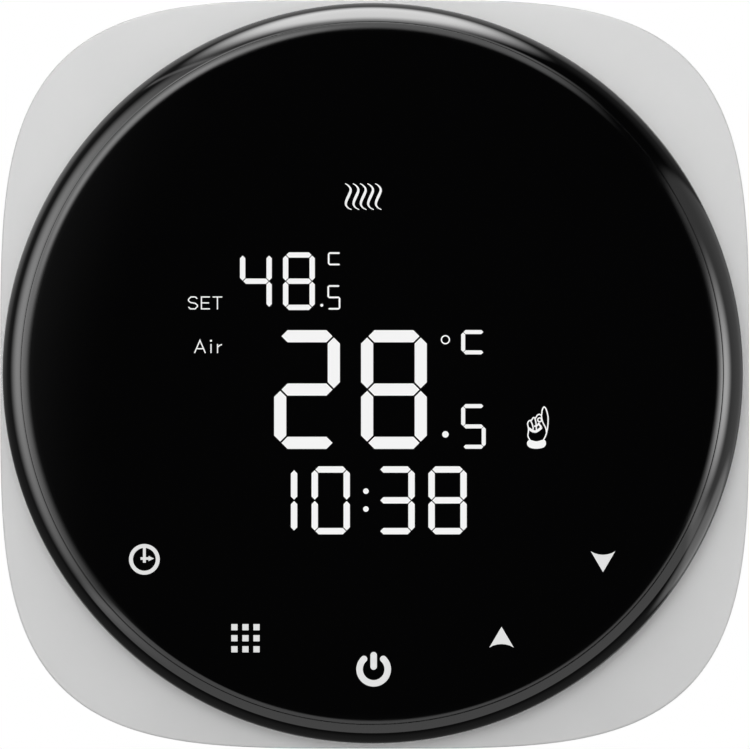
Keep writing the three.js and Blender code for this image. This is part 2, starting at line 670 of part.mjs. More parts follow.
// A round flange that closes the front module, and the box that goes into the wall.
function rearHousing() {
  const flangeRadius = COLLAR_OUTSIDE + FLANGE_LIP;
  const flange = rod(0, 0, flangeRadius, FLANGE_FRONT, FLANGE_BACK, ROUND_STEPS);
  const box = slab(chamferedSquare(BOX_WIDTH, BOX_CHAMFER), FLANGE_FRONT, BOX_DEPTH);
  const inside = chamferedSquare(2 * BOX_HALF_INSIDE, BOX_INNER_CHAMFER);
  const hollow = slab(inside, FLANGE_FRONT - 1, BOX_INSIDE);
  const tools = [hollow];
  for (const [x, z] of [...wallScrewPlaces, ...spareSlotPlaces]) {
    const radius = WALL_SCREW_HEAD + SCREW_HEAD_ROOM;
    tools.push(rod(x, z, radius, FLANGE_FRONT - 1, FLANGE_BACK + 1, 24));
  }
  for (const [x, z] of bossPlaces) {
    tools.push(rod(x, z, HOUSING_SCREW_RADIUS + FIT, FLANGE_FRONT - 1, FLANGE_BACK + 1));
    tools.push(rod(x, z, HOUSING_SCREW_HEAD + FIT, HOUSING_SCREW_SEAT, FLANGE_BACK + 1));
  }
  tools.push(block(
    -TERMINAL_WIDTH / 2 - FIT, TERMINAL_WIDTH / 2 + FIT,
    POWER_BOARD_BACK - FIT, BOX_DEPTH + 1,
    -BOX_WIDTH, TERMINAL_TOP + FIT,
  ));
  for (let i = 0; i < HEAT_SLOT_COUNT; i += 1) {
    const x = (i - (HEAT_SLOT_COUNT - 1) / 2) * HEAT_SLOT_PITCH;
    tools.push(brick(
      x, HEAT_SLOT_RISE, HEAT_SLOT_WIDTH, HEAT_SLOT_LENGTH, BOX_INSIDE - 1, BOX_DEPTH + 1,
    ));
  }
  const posts = BOARD_POSTS.map(
    ([x, z]) => rod(x, z, BOARD_POST_RADIUS, POWER_BOARD_BACK, BOX_INSIDE + BOX_WALL / 2, 12),
  );
  const catchBack = POWER_BOARD_FRONT - FIT / 2;
  const catches = [-1, 1].map((side) => brick(
    side * BOX_HALF_INSIDE, 0, 2 * CATCH_REACH, CATCH_WIDTH, catchBack - CATCH_HEIGHT, catchBack,
  ));
  return join(cut(join(flange, box), ...tools), ...posts, ...catches);
}

// ---------------------------------------------------------------- power board and its parts

function powerBoard() {
  const outline = chamferedSquare(2 * (BOX_HALF_INSIDE - FIT), BOX_INNER_CHAMFER);
  return slab(outline, POWER_BOARD_FRONT, POWER_BOARD_BACK);
}

const relayBack = POWER_BOARD_BACK + RELAY_HEIGHT;
const relayBaseBack = POWER_BOARD_BACK + RELAY_BASE;
const armaturePivot = [
  RELAY_X + RELAY_WIDTH / 2 - CONTACT_ROOM,
  relayBack - 2 * RELAY_WALL - 2 * RELAY_GAUGE,
];
const coilX = armaturePivot[0] - YOKE_GAUGE / 2 - FIT - COIL_RADIUS - FIT;

function relayCase() {
  const outer = brick(RELAY_X, RELAY_Z, RELAY_WIDTH, RELAY_LENGTH, relayBaseBack, relayBack);
  const inner = brick(
    RELAY_X, RELAY_Z, RELAY_WIDTH - 2 * RELAY_WALL, RELAY_LENGTH - 2 * RELAY_WALL,
    relayBaseBack - 1, relayBack - RELAY_WALL,
  );
  return cut(outer, inner);
}

function relayBase() {
  return brick(RELAY_X, RELAY_Z, RELAY_WIDTH, RELAY_LENGTH, POWER_BOARD_BACK, relayBaseBack);
}

const yokeFoot = relayBaseBack + RELAY_GAUGE;
const coreEnd = armaturePivot[1] - RELAY_GAUGE / 2;

// Coil: a bobbin with two flanges, its winding, and the core's pole that the armature meets.
function relayCoil() {
  const front = yokeFoot + FIT;
  const back = coreEnd - RELAY_GAUGE / 2;
  const profile = [
    [0, front], [COIL_RADIUS, front], [COIL_RADIUS, front + COIL_FLANGE],
    [COIL_WOUND_RADIUS, front + COIL_FLANGE], [COIL_WOUND_RADIUS, back - COIL_FLANGE],
    [COIL_RADIUS, back - COIL_FLANGE], [COIL_RADIUS, back],
    [CORE_RADIUS, back], [CORE_RADIUS, coreEnd], [0, coreEnd],
  ];
  return turned(profile, 16).translate(coilX, 0, RELAY_Z);
}

// The steel yoke: a foot under the coil and an upright beside it, up to the armature's edge.
function relayYoke() {
  const [pivotX, pivotY] = armaturePivot;
  const left = coilX - COIL_RADIUS;
  const right = pivotX + YOKE_GAUGE / 2;
  const low = RELAY_Z - YOKE_WIDTH / 2;
  const high = RELAY_Z + YOKE_WIDTH / 2;
  return join(
    block(left, right, relayBaseBack, yokeFoot, low, high),
    block(right - YOKE_GAUGE, right, relayBaseBack, pivotY, low, high),
  );
}

const leafX = armaturePivot[0] + YOKE_GAUGE / 2 + RELAY_GAUGE;
const buttonX = leafX + 1.25 * LEAF_GAUGE;
const contactFront = relayBaseBack + CONTACT_FOOT;

// The armature: a steel flap over the core that rocks on the yoke, with the contact leaf.
function relayArmature() {
  const flapFront = armaturePivot[1] + FIT;
  const flapLeft = coilX - COIL_RADIUS + RELAY_GAUGE;
  const leafEnd = leafX + LEAF_GAUGE;
  return join(
    block(
      flapLeft, leafEnd, flapFront, flapFront + RELAY_GAUGE,
      RELAY_Z - YOKE_WIDTH / 2, RELAY_Z + YOKE_WIDTH / 2,
    ),
    block(
      leafX, leafEnd, contactFront - FIT, flapFront + RELAY_GAUGE / 2,
      RELAY_Z - LEAF_WIDTH / 2, RELAY_Z + LEAF_WIDTH / 2,
    ),
    brick(
      buttonX, RELAY_Z, LEAF_GAUGE, CONTACT_WIDTH, contactFront, contactFront + CONTACT_WIDTH,
    ),
  );
}

function relayContact() {
  const x = buttonX + LEAF_GAUGE + CONTACT_GAP;
  return join(
    block(
      x, x + LEAF_GAUGE, relayBaseBack, contactFront + 1.5 * CONTACT_WIDTH,
      RELAY_Z - LEAF_WIDTH / 2, RELAY_Z + LEAF_WIDTH / 2,
    ),
    brick(x, RELAY_Z, LEAF_GAUGE, CONTACT_WIDTH, contactFront, contactFront + CONTACT_WIDTH),
  );
}

const transformerFront = POWER_BOARD_FRONT - TRANSFORMER_HEIGHT;
const coreBack = POWER_BOARD_FRONT - CORE_STAND;
const windowFront = transformerFront + CORE_LIMB;
const windowBack = coreBack - CORE_LIMB;
const coreWindow = CORE_WIDTH - 2 * CORE_LIMB;

// Core: a pair of E-shaped ferrite halves, seen as a frame round the winding.
function transformerCore() {
  const [x, z] = TRANSFORMER_PLACE;
  return cut(
    brick(x, z, CORE_WIDTH, CORE_THICKNESS, transformerFront, coreBack),
    brick(x, z, coreWindow, CORE_THICKNESS + 2, windowFront, windowBack),
  );
}

// Winding on its bobbin, through the core's window, with two feet that stand on the board.
function transformerWinding() {
  const [x, z] = TRANSFORMER_PLACE;
  const back = windowBack - FIT;
  const reach = (WINDING_LENGTH - WINDING_FOOT) / 2;
  const feet = [-1, 1].map((side) => brick(
    x, z + side * reach, WINDING_FOOT_WIDTH, WINDING_FOOT, back - 1, POWER_BOARD_FRONT,
  ));
  return join(
    brick(x, z, coreWindow - 2 * FIT, WINDING_LENGTH, windowFront + FIT, back),
    ...feet,
  );
}

// A can capacitor that stands on the front of the power board, with a rolled groove.
function filterCapacitor() {
  const end = POWER_BOARD_FRONT - CAN_HEIGHT;
  const groove = POWER_BOARD_FRONT - 1.6;
  const fold = 0.3;
  const profile = [
    [0, end], [CAN_RADIUS - fold, end], [CAN_RADIUS, end + fold],
    [CAN_RADIUS, groove - 2 * fold], [CAN_RADIUS - fold, groove - fold],
    [CAN_RADIUS - fold, groove], [CAN_RADIUS, groove + fold],
    [CAN_RADIUS, POWER_BOARD_FRONT], [0, POWER_BOARD_FRONT],
  ];
  return turned(profile, 16).translate(CAN_X, 0, 0);
}

function suppressionCapacitor() {
  const [x, z] = FILM_PLACE;
  const back = POWER_BOARD_BACK + FILM_HEIGHT;
  return brick(x, z, FILM_WIDTH, FILM_LENGTH, POWER_BOARD_BACK, back);
}

// A cartridge fuse along Z on two clips.
function fuse() {
  const [x, z] = FUSE_PLACE;
  const middle = POWER_BOARD_BACK + FUSE_STAND;
  const bar = (radius, size) => {
    const made = new THREE.CylinderGeometry(radius, radius, size, SMALL_STEPS);
    return made.rotateX(Math.PI / 2).translate(x, middle, z);
  };
  const ends = [-1, 1].flatMap((side) => {
    const along = side * (FUSE_LENGTH - FUSE_CAP_LENGTH) / 2;
    return [
      bar(FUSE_CAP_RADIUS, FUSE_CAP_LENGTH).translate(0, 0, along),
      brick(x, z + along, 3, 0.6, POWER_BOARD_BACK, middle - 1),
    ];
  });
  return join(bar(FUSE_RADIUS, FUSE_LENGTH - 1), ...ends);
}

// A disc varistor on edge, on two legs.
function varistor() {
  const [x, z] = VARISTOR_PLACE;
  const middle = POWER_BOARD_BACK + VARISTOR_STAND;
  const disc = new THREE.CylinderGeometry(
    VARISTOR_RADIUS, VARISTOR_RADIUS, VARISTOR_THICKNESS, 24,
  ).rotateX(Math.PI / 2);
  const legs = [-2.5, 2.5].map((side) => brick(x + side, z, 0.7, 0.7, POWER_BOARD_BACK, middle));
  return join(disc.translate(x, middle, z), ...legs);
}

// ---------------------------------------------------------------- terminals

const terminalPlaces = Array.from(
  { length: TERMINAL_COUNT }, (_, i) => (i - (TERMINAL_COUNT - 1) / 2) * TERMINAL_PITCH,
);
const screwSeat = TERMINAL_BACK - TERMINAL_SCREW_SINK - TERMINAL_SCREW_HEAD_HEIGHT;
const cageRoomBack = screwSeat - CAGE_LAND;
const cageBack = cageRoomBack - FIT - CAGE_TRAVEL;
const cageFront = cageBack - CAGE_HEIGHT;

// The block has a chamber for each wire cage, open to the wires below and to a screw behind.
function terminalBlock() {
  const body = block(
    -TERMINAL_WIDTH / 2, TERMINAL_WIDTH / 2,
    POWER_BOARD_BACK, TERMINAL_BACK,
    TERMINAL_BOTTOM, TERMINAL_TOP,
  );
  const tools = terminalPlaces.flatMap((x) => [
    brick(
      x, TERMINAL_MIDDLE, CAGE_WIDTH + 2 * FIT, CAGE_LENGTH + 2 * FIT,
      cageFront - FIT, cageRoomBack,
    ),
    block(
      x - CAGE_WIDTH / 2 + FIT, x + CAGE_WIDTH / 2 - FIT,
      cageFront + CAGE_FRONT_WALL, cageBack - CAGE_BACK_WALL + CAGE_TRAVEL,
      TERMINAL_BOTTOM - 1, TERMINAL_MIDDLE,
    ),
    rod(x, TERMINAL_MIDDLE, TERMINAL_SCREW_RADIUS + FIT, cageRoomBack - 1, TERMINAL_BACK + 1),
    rod(x, TERMINAL_MIDDLE, TERMINAL_SCREW_HEAD + FIT, screwSeat, TERMINAL_BACK + 1),
  ]);
  return cut(body, ...tools);
}

// The wire cage: a square loop, open along Z for the wire, that the screw draws back.
function terminalClamp(x) {
  const body = brick(x, TERMINAL_MIDDLE, CAGE_WIDTH, CAGE_LENGTH, cageFront, cageBack);
  const wireWay = brick(
    x, TERMINAL_MIDDLE, CAGE_WIDTH - 2 * CAGE_WALL, CAGE_LENGTH + 2,
    cageFront + CAGE_FRONT_WALL, cageBack - CAGE_BACK_WALL,
  );
  const threadRadius = TERMINAL_SCREW_RADIUS + FIT / 2;
  const threadFront = cageBack - CAGE_BACK_WALL - 1;
  const thread = rod(x, TERMINAL_MIDDLE, threadRadius, threadFront, cageBack + 1);
  return cut(body, wireWay, thread);
}

function terminalScrew(x) {
  const headBack = screwSeat + TERMINAL_SCREW_HEAD_HEIGHT;
  const profile = [
    [0, cageBack - CAGE_BACK_WALL + FIT],
    [TERMINAL_SCREW_RADIUS, cageBack - CAGE_BACK_WALL + FIT],
    [TERMINAL_SCREW_RADIUS, screwSeat],
    [TERMINAL_SCREW_HEAD, screwSeat],
    [TERMINAL_SCREW_HEAD, headBack],
    [0, headBack],
  ];
  const slot = brick(
    0, 0, 3 * TERMINAL_SCREW_HEAD, DRIVER_SLOT_WIDTH, headBack - DRIVER_SLOT_DEPTH, headBack + 1,
  );
  return cut(turned(profile, SMALL_STEPS), slot).translate(x, 0, TERMINAL_MIDDLE);
}

// ---------------------------------------------------------------- mounting plate and screws

const tabFront = TRIM_INSIDE + 0.8;
const tabWindow = { front: tabFront + 0.8, back: PLATE_FRONT - TAB_EDGE };

// A steel plate with a window for the rear box, screw slots, and a bent tab at each corner.
function mountingPlate() {
  const chamfer = PLATE_WIDTH - Math.SQRT2 * TAB_OUTSIDE;
  const windowWidth = BOX_WIDTH + 2 * PLATE_WINDOW_GAP;
  const through = [PLATE_FRONT - 1, 1];
  const tools = [slab(chamferedSquare(windowWidth, BOX_CHAMFER), ...through)];
  for (const [x, z] of wallScrewPlaces) {
    tools.push(slab(slotShape(x, z, WALL_SLOT_LENGTH, WALL_SLOT_WIDTH, false), ...through, 8));
  }
  for (const [x, z] of spareSlotPlaces) {
    tools.push(slab(slotShape(x, z, WALL_SLOT_LENGTH, WALL_SLOT_WIDTH, true), ...through, 8));
  }
  const tabs = [];
  for (const angle of [45, 135, 225, 315]) {
    const turn = THREE.MathUtils.degToRad(angle);
    const middle = (TAB_INSIDE + TAB_OUTSIDE) / 2;
    const tab = brick(middle, 0, PLATE_THICKNESS, TAB_WIDTH, tabFront, 0);
    const hole = brick(
      middle, 0, PLATE_THICKNESS + 2, HOOK_WIDTH + 1, tabWindow.front, tabWindow.back,
    );
    tabs.push(tab.rotateY(turn));
    tools.push(hole.rotateY(turn));
  }
  const plate = slab(chamferedSquare(PLATE_WIDTH, chamfer), PLATE_FRONT, 0);
  return cut(join(plate, ...tabs), ...tools);
}

// A pan-head screw whose head faces the given way along Y, with a cross recess.
function panHeadScrew(x, z, radius, length, headRadius, headHeight, seat, facing) {
  const headTop = seat + facing * headHeight;
  const tip = seat - facing * length;
  const profile = [
    [0, tip],
    [radius * 0.5, tip],
    [radius, tip + facing * radius],
    [radius, seat],
    [headRadius, seat],
    [headRadius, seat + facing * headHeight * 0.5],
    [headRadius * 0.7, headTop],
    [0, headTop],
  ];
  const recessFloor = headTop - facing * headHeight * 0.5;
  const recess = [recessFloor, headTop + facing].sort((a, b) => a - b);
  const arm = headRadius * 0.55;
  const wide = headRadius * 0.12;
  return cut(
    turned(profile, SMALL_STEPS),
    block(-arm, arm, ...recess, -wide, wide),
    block(-wide, wide, ...recess, -arm, arm),
  ).translate(x, 0, z);
}

// ---------------------------------------------------------------- put together

place('touch_glass', 'blackGloss', touchGlass());
place('glass_adhesive', 'foam', ring(
  BEZEL_INSIDE + FIT, GLASS_RADIUS, GLASS_BACK, LEDGE_FRONT, 48,
));
place('front_bezel', 'blackGloss', frontBezel());
place('lcd_panel', 'lcd', lcdPanel());
place('lcd_backlight', 'diffuser', lcdBacklight());
place('lcd_frame', 'whitePlastic', lcdFrame());
place('zebra_strip', 'foam', zebraStrip());
place('display_board', 'boardGreen', displayBoard());

const keys = ['clock', 'menu', 'power', 'up', 'down'];
keys.forEach((key, i) => {
  const [x, z] = polar(KEY_ARC_RADIUS, -90 + (i - 2) * KEY_ARC_STEP);
  place(`touch_spring_${key}`, 'steel', touchSpring(x, z));
});

place('controller_chip', 'chip', chip(CONTROLLER_PLACE, 9, 9, 5, 5));
place('touch_chip', 'chip', chip(TOUCH_CHIP_PLACE, 10, 4, 7, 0));
place('buzzer', 'blackPlastic', buzzer());
place('coin_cell_holder', 'blackPlastic', cellHolder());
place('coin_cell', 'steel', coinCell());
place('air_sensor', 'blackPlastic', airSensor());
place('board_header', 'brass', boardHeader());
place('board_socket', 'blackPlastic', boardSocket());

place('trim_plate', 'whitePlastic', trimPlate());
place('rear_housing', 'whitePlastic', rearHousing());

place('power_board', 'boardGreen', powerBoard());
place('relay_base', 'blackPlastic', relayBase());
place('relay_case', 'relayBlue', relayCase());
place('relay_coil', 'copper', relayCoil());
place('relay_yoke', 'steel', relayYoke());
place('relay_armature', 'steel', relayArmature());
place('relay_contact', 'brass', relayContact());
place('transformer_core', 'ferrite', transformerCore());
place('transformer_winding', 'copper', transformerWinding());
place('filter_capacitor', 'capSleeve', filterCapacitor());
place('suppression_capacitor', 'capBox', suppressionCapacitor());
place('fuse', 'ceramic', fuse());
place('varistor', 'varistorBlue', varistor());

place('terminal_block', 'terminalGreen', terminalBlock());
terminalPlaces.forEach((x, i) => {
  place(`terminal_clamp_${i + 1}`, 'brass', terminalClamp(x));
  place(`terminal_screw_${i + 1}`, 'steel', terminalScrew(x));
});

bossPlaces.forEach(([x, z], i) => {
  place(`housing_screw_${i + 1}`, 'steel', panHeadScrew(
    x, z, HOUSING_SCREW_RADIUS, HOUSING_SCREW_LENGTH, HOUSING_SCREW_HEAD,
    HOUSING_SCREW_HEAD_HEIGHT, HOUSING_SCREW_SEAT, 1,
  ));
});

place('mounting_plate', 'steel', mountingPlate());
wallScrewPlaces.forEach(([x, z], i) => {
  place(`wall_screw_${['left', 'right'][i]}`, 'steel', panHeadScrew(
    x, z, WALL_SCREW_RADIUS, WALL_SCREW_LENGTH, WALL_SCREW_HEAD,
    WALL_SCREW_HEAD_HEIGHT, PLATE_FRONT, -1,
  ));
});

export default thermostat;
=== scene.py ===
"""The looks of a round-face wall thermostat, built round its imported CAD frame.

Lengths are millimetres unless a comment says otherwise, and MM turns them into metres. The wall
is the plane y = 0, the glass face looks along -Y, and +Z is up.
"""
import json
import math

import bmesh
import bpy
from mathutils import Matrix, Vector


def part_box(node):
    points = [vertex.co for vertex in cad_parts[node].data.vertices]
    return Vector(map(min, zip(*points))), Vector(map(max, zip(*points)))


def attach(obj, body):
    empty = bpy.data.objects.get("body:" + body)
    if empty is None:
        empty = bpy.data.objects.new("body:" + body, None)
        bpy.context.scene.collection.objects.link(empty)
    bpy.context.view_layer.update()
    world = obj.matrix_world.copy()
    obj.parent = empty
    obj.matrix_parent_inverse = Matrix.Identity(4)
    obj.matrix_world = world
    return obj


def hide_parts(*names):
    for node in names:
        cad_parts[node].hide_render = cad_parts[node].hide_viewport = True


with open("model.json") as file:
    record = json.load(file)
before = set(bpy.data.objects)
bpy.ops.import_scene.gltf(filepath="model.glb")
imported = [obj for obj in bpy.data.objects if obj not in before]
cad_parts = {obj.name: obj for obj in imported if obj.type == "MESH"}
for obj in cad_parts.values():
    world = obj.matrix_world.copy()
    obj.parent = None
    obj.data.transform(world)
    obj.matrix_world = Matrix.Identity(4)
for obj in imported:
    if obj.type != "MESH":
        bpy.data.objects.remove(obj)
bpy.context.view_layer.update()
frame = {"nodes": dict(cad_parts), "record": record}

MM = 0.001
BODY = "thermostat"
FULL_TURN = 2 * math.pi
AXIS = 0.001  # a profile's innermost radius, so that its end cap is a real face

# ------------------------------------------------------------------ design values, object, mm

FIT = 0.3  # clearance between neighbours

TRIM_POWER = 3.89  # exponent of the rounded-square outline
TRIM_WALL = 1.8
TRIM_EDGE = 0.3  # rounding of the trim plate's front edge
TRIM_BREAK = 0.1  # fine chamfer of its other edges
VENT_COUNT = 7
VENT_PITCH = 4.0
VENT_WIDTH = 1.6
VENT_MARGINS = (0.8, 1.8)  # from a vent to the plate's inside face, and to its back edge
NOTCH_HALF_WIDTH = 4.5  # release notch in the middle of the bottom edge
NOTCH_HEIGHT = 1.2
MOUNTING_PLATE_THICKNESS = 1.2
TAB_MARGIN = 2.0  # from the trim's inside to the mounting plate's tabs
TAB_HEIGHT = 2.2
HOOK_NOSE = 0.9  # how far a hook's nose stands out from its face
HOOK_THICKNESS = 1.4
HOOK_HALF_WIDTH = 3.0
HOOK_SETBACK = 1.6  # from the plate's inside face to the nose, besides the clearance
HOOK_ROOT = 0.8  # how deep a hook stands in the plate
HOOK_NOSE_RAMP = 0.6
HOOK_TIP = 0.2  # how far the end of the ramp stays out from the hook's face
HOOK_END_GAP = 0.5  # how much shorter than the tab it is

RIM_FACE = 2.8
RIM_ROUND_DEPTH = 2.2
RIM_START = 10.0  # degrees of its arc the rim has already turned at the glass pocket
RIM_LIP = 0.02  # rounding at the glass pocket
RIM_BACK_EDGE = 0.15
LEDGE_WIDTH = 3.0
BEZEL_WALL = 1.6
BOSS_ANGLES = (20, 160, 200, 340)
BOSS_RADIUS = 3.0
BOSS_INSET = 0.4  # how far a boss's far side stands in the bezel's wall
BOSS_HOLE = 1.6
BOSS_HOLE_DEPTH = 9.0
SHOULDER_RADIUS = 3.8

GLASS_ROUND_WIDTH = 1.2
GLASS_ROUND_DEPTH = 0.07
GLASS_EDGE = 0.02
GLASS_BACK_EDGE = 0.1
GLASS_FILL = 0.26  # the seam round the glass looks narrower than its clearance

HOUSING_EDGE = 0.25  # width of the soft edges on the shapes that come from the CAD
BLOCK_EDGE = 0.12
PLATE_EDGE = 0.12
CAGE_EDGE = 0.08

THREAD_ROWS = 6  # rows of points along each pitch
RIDGE_SLOPE = 3.2  # a thread's ridge takes 2 / 3.2 of its pitch
SCREW_CORE = 0.76  # a pan screw's core radius, as a share of its thread's
RECESS_ARM = 0.5  # a cross recess's half length, half width and depth, as shares of the head
RECESS_BLADE = 0.13
RECESS_DEPTH = 0.62
HOUSING_SCREW = dict(way=1, thread=1.3, head_height=1.0, pitch=0.9)
WALL_SCREW = dict(way=-1, thread=1.6, head_height=1.8, pitch=1.1)
TERMINAL_THREAD = 1.2
TERMINAL_CORE = 0.96
TERMINAL_PITCH = 0.5
TERMINAL_HEAD_HEIGHT = 1.6
TERMINAL_SLOT = (0.3, 0.8)  # half width and depth

PRINT_PROUD = 0.012  # how far the lit marks stand over the glass
PRINT_DEEP = 0.03
KEY_ARC_RADIUS = 39.0
KEY_ARC_STEP = 25.5
KEY_SIGN_OFFSETS = ((0.25, -0.06), (0.08, 0.18), (0.22, -0.12), (0.32, 0.34), (0.20, -0.39))
ROOM_FIGURES = dict(width=8.68, height=15.68, thick=1.60, gap=0.17)
ROOM_SMALL_FIGURES = dict(width=3.24, height=5.90, thick=0.53, gap=0.05)
SET_FIGURES = dict(width=4.20, height=7.62, thick=0.70, gap=0.08)
SET_SMALL_FIGURES = dict(width=1.72, height=3.24, thick=0.23, gap=0.0)
CLOCK_FIGURES = dict(width=5.06, height=8.98, thick=0.84, gap=0.09)
LABEL_STROKE = 0.15
FIGURE_LIGHT, SIGN_LIGHT = 0, 1  # the brighter and the dimmer light in the lit marks' slot

ROUND_STEPS = 288
OUTLINE_STEPS = 384
CREASE = 32  # degrees between faces, from which an edge is shown as a crease

# ------------------------------------------------------------------ design values, studio

# The studio is painted on the world for glossy reflections only. Each panel: its middle as a
# clock angle (0 is up, clockwise) and degrees away from straight ahead, its half sizes and the
# softness of its edges in the same order, how many degrees it leans over to the side on the way
# out to 90 degrees, whether it is round, and its brightness.
STUDIO_PANELS = [
    ((-4, 56), (22, 26), (0.45,), 0, True, 15.0),  # overhead soft box
    ((-8, 19), (34, 7), (0.30, 0.30), 0, False, 2.2),  # strip above, near straight ahead
    ((-26, 50), (1.0, 25), (0.7, 0.2), -16, False, 1.6),  # thin leaning stand
    ((81, 66), (33, 60), (0.05, 0.10), 10, False, 0.8),  # dim wall on the right
    ((90, 25), (15, 13), (0.9,), 0, True, 8.0),  # lamp on the right
    ((117, 86), (13, 30), (0.25,), 0, True, 1.7),  # small reflector, low on the right
    ((174, 33), (62, 18), (0.05, 0.05), 0, False, 1.35),  # table below
    ((-80, 33), (34, 17), (0.95,), 0, True, 5.4),  # big soft lamp on the left
    ((-20, 112), (60, 26), (0.4, 0.4), 0, False, 1.0),  # glow above and a little behind
    ((-45, 16), (24, 4), (0.6,), 0, True, 3.6),  # strip high on the left
]
DARK_AHEAD = (7.5, 17.0)  # degrees: the studio is black from here inwards, lit from here outwards
BASE_LEVEL = 0.02
AROUND = (45, 75, 0.18)  # from which angle, to which angle the level rises, and by how much
BEHIND = (125, 160, 0.6)

# Matt surfaces see an even white world instead, brighter straight ahead and behind.
DIFFUSE_LEVEL = 0.22
DIFFUSE_AHEAD = 0.90
DIFFUSE_FALL = 4.0  # power of the fall from straight ahead to the side
DIFFUSE_SLOPE_Z = 0.04  # a little more light from above than from below

SOFT_BOXES = [  # name, place in metres, size in metres, watts
    ("front_box", (0.0, -0.62, 0.06), 0.25, 1.55),
    ("back_box", (-0.35, 0.80, 0.45), 0.60, 3.0),
]
FLAG_SIZE = (260, 200)  # a black card under the picture, which shades the lower half softly
FLAG_PLACE = (20, -115, -106)
FLAG_THICKNESS = 1.0
FLOOR_RADIUS = 1100.0
FLOOR_HEIGHT = -450.0
FLOOR_THICKNESS = 10.0

CAMERA_SENSOR_MM = 36.0
CAMERA_DISTANCE_MM = 398.0  # from the trim plate's front
CAMERA_OFFSET_MM = (17.4, -6.7)  # the lens stands this far right of the middle, and up
FRAME_WIDTH_MM = 101.08  # what the picture shows at the trim plate's front
FRAME_CENTRE_MM = (0.05, -0.06)


def box_mm(node):
    """A CAD node's lowest and highest corner, in millimetres."""
    low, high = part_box(node)
    return low / MM, high / MM


# ------------------------------------------------------------------ mesh helpers


def link(name, mesh):
    piece = bpy.data.objects.new(name, mesh)
    bpy.context.scene.collection.objects.link(piece)
    return piece


def piece_from(name, bm):
    """A piece from a bmesh in millimetres, with its faces turned outwards."""
    bmesh.ops.recalc_face_normals(bm, faces=bm.faces)
    bmesh.ops.transform(bm, matrix=Matrix.Scale(MM, 4), verts=bm.verts)
    mesh = bpy.data.meshes.new(name)
    bm.to_mesh(mesh)
    bm.free()
    return link(name, mesh)


def smooth(piece, degrees=CREASE):
    """Smooth shading, with a crease where two faces meet at more than the given angle."""
    piece.data.shade_smooth()
    piece.data.set_sharp_from_angle(angle=math.radians(degrees))
    return piece


def dress(piece, body, slot, *nodes):
    """Gives a finished piece its body and its slot's materials, and hides the CAD nodes it stands
    for.
    """
    piece.data.materials.clear()
    for material in MATERIALS[slot]:
        piece.data.materials.append(material)
    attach(piece, body)
    if nodes:
        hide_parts(*nodes)
    return piece


def loft(bm, loops, closed=False):
    """Joins loops of as many points each by quads. The ends are capped unless it is closed."""
    rings = [[bm.verts.new(point) for point in loop] for loop in loops]
    pairs = list(zip(rings, rings[1:]))
    if closed:
        pairs.append((rings[-1], rings[0]))
    for first, second in pairs:
        count = len(first)
        for i in range(count):
            j = (i + 1) % count
            bm.faces.new((first[i], first[j], second[j], second[i]))
    if not closed:
        bm.faces.new(rings[0])
        bm.faces.new(rings[-1])


def polar(radius, degrees):
    angle = math.radians(degrees)
    return radius * math.cos(angle), radius * math.sin(angle)


def disc(x, z, radius, steps):
    """The outline of a disc, as points in X and Z."""
    turns = [FULL_TURN * i / steps for i in range(steps)]
    return [(x + radius * math.cos(turn), z + radius * math.sin(turn)) for turn in turns]


def circle(radius, depth, x=0.0, z=0.0, steps=ROUND_STEPS):
    """A disc's outline as a loop in space, at one depth."""
    return [(px, depth, pz) for px, pz in disc(x, z, radius, steps)]


def rounded_square(half, depth, steps=OUTLINE_STEPS):
    """The superellipse |x|^n + |z|^n = half^n, with its points at even angles."""
    points = []
    for i in range(steps):
        angle = FULL_TURN * i / steps
        across, up = math.cos(angle), math.sin(angle)
        reach = half / (abs(across) ** TRIM_POWER + abs(up) ** TRIM_POWER) ** (1 / TRIM_POWER)
        points.append((reach * across, depth, reach * up))
    return points


def turned(bm, profile, x=0.0, z=0.0, steps=ROUND_STEPS, closed=False):
    """A solid of revolution about a line along Y, from points of radius and depth."""
    loft(bm, [circle(r, y, x, z, steps) for r, y in profile], closed)


def arc(centre, radii, start, end, steps):
    """Points on an elliptic arc in its own plane, with angles in degrees."""
    points = []
    for i in range(steps + 1):
        angle = math.radians(start + (end - start) * i / steps)
        across, up = radii[0] * math.cos(angle), radii[1] * math.sin(angle)
        points.append((centre[0] + across, centre[1] + up))
    return points


def brick(bm, low, high):
    """A plain block between two corners."""
    (x0, y0, z0), (x1, y1, z1) = low, high
    bottom = [(x0, y0, z0), (x1, y0, z0), (x1, y1, z0), (x0, y1, z0)]
    top = [(x, y, z1) for x, y, _ in bottom]
    loft(bm, [bottom, top])


def prism(bm, outline, front, back):
    """A flat outline in X and Z, given thickness along Y."""
    loft(bm, [[(x, depth, z) for x, z in outline] for depth in (front, back)])


def combined(piece, operation, tool):
    """Cuts the tool from the piece, or joins it to the piece, and removes the tool."""
    modifier = piece.modifiers.new("shape", "BOOLEAN")
    modifier.operation = operation
    modifier.solver = "EXACT"
    modifier.object = tool
    bake_modifiers(piece)
    mesh = tool.data
    bpy.data.objects.remove(tool)
    bpy.data.meshes.remove(mesh)


def bake_modifiers(piece):
    """Replaces a piece's mesh by what its modifiers make of it."""
    bpy.context.view_layer.update()
    ready = piece.evaluated_get(bpy.context.evaluated_depsgraph_get())
    mesh = bpy.data.meshes.new_from_object(ready)
    piece.modifiers.clear()
    old = piece.data
    piece.data = mesh
    bpy.data.meshes.remove(old)


# ------------------------------------------------------------------ materials


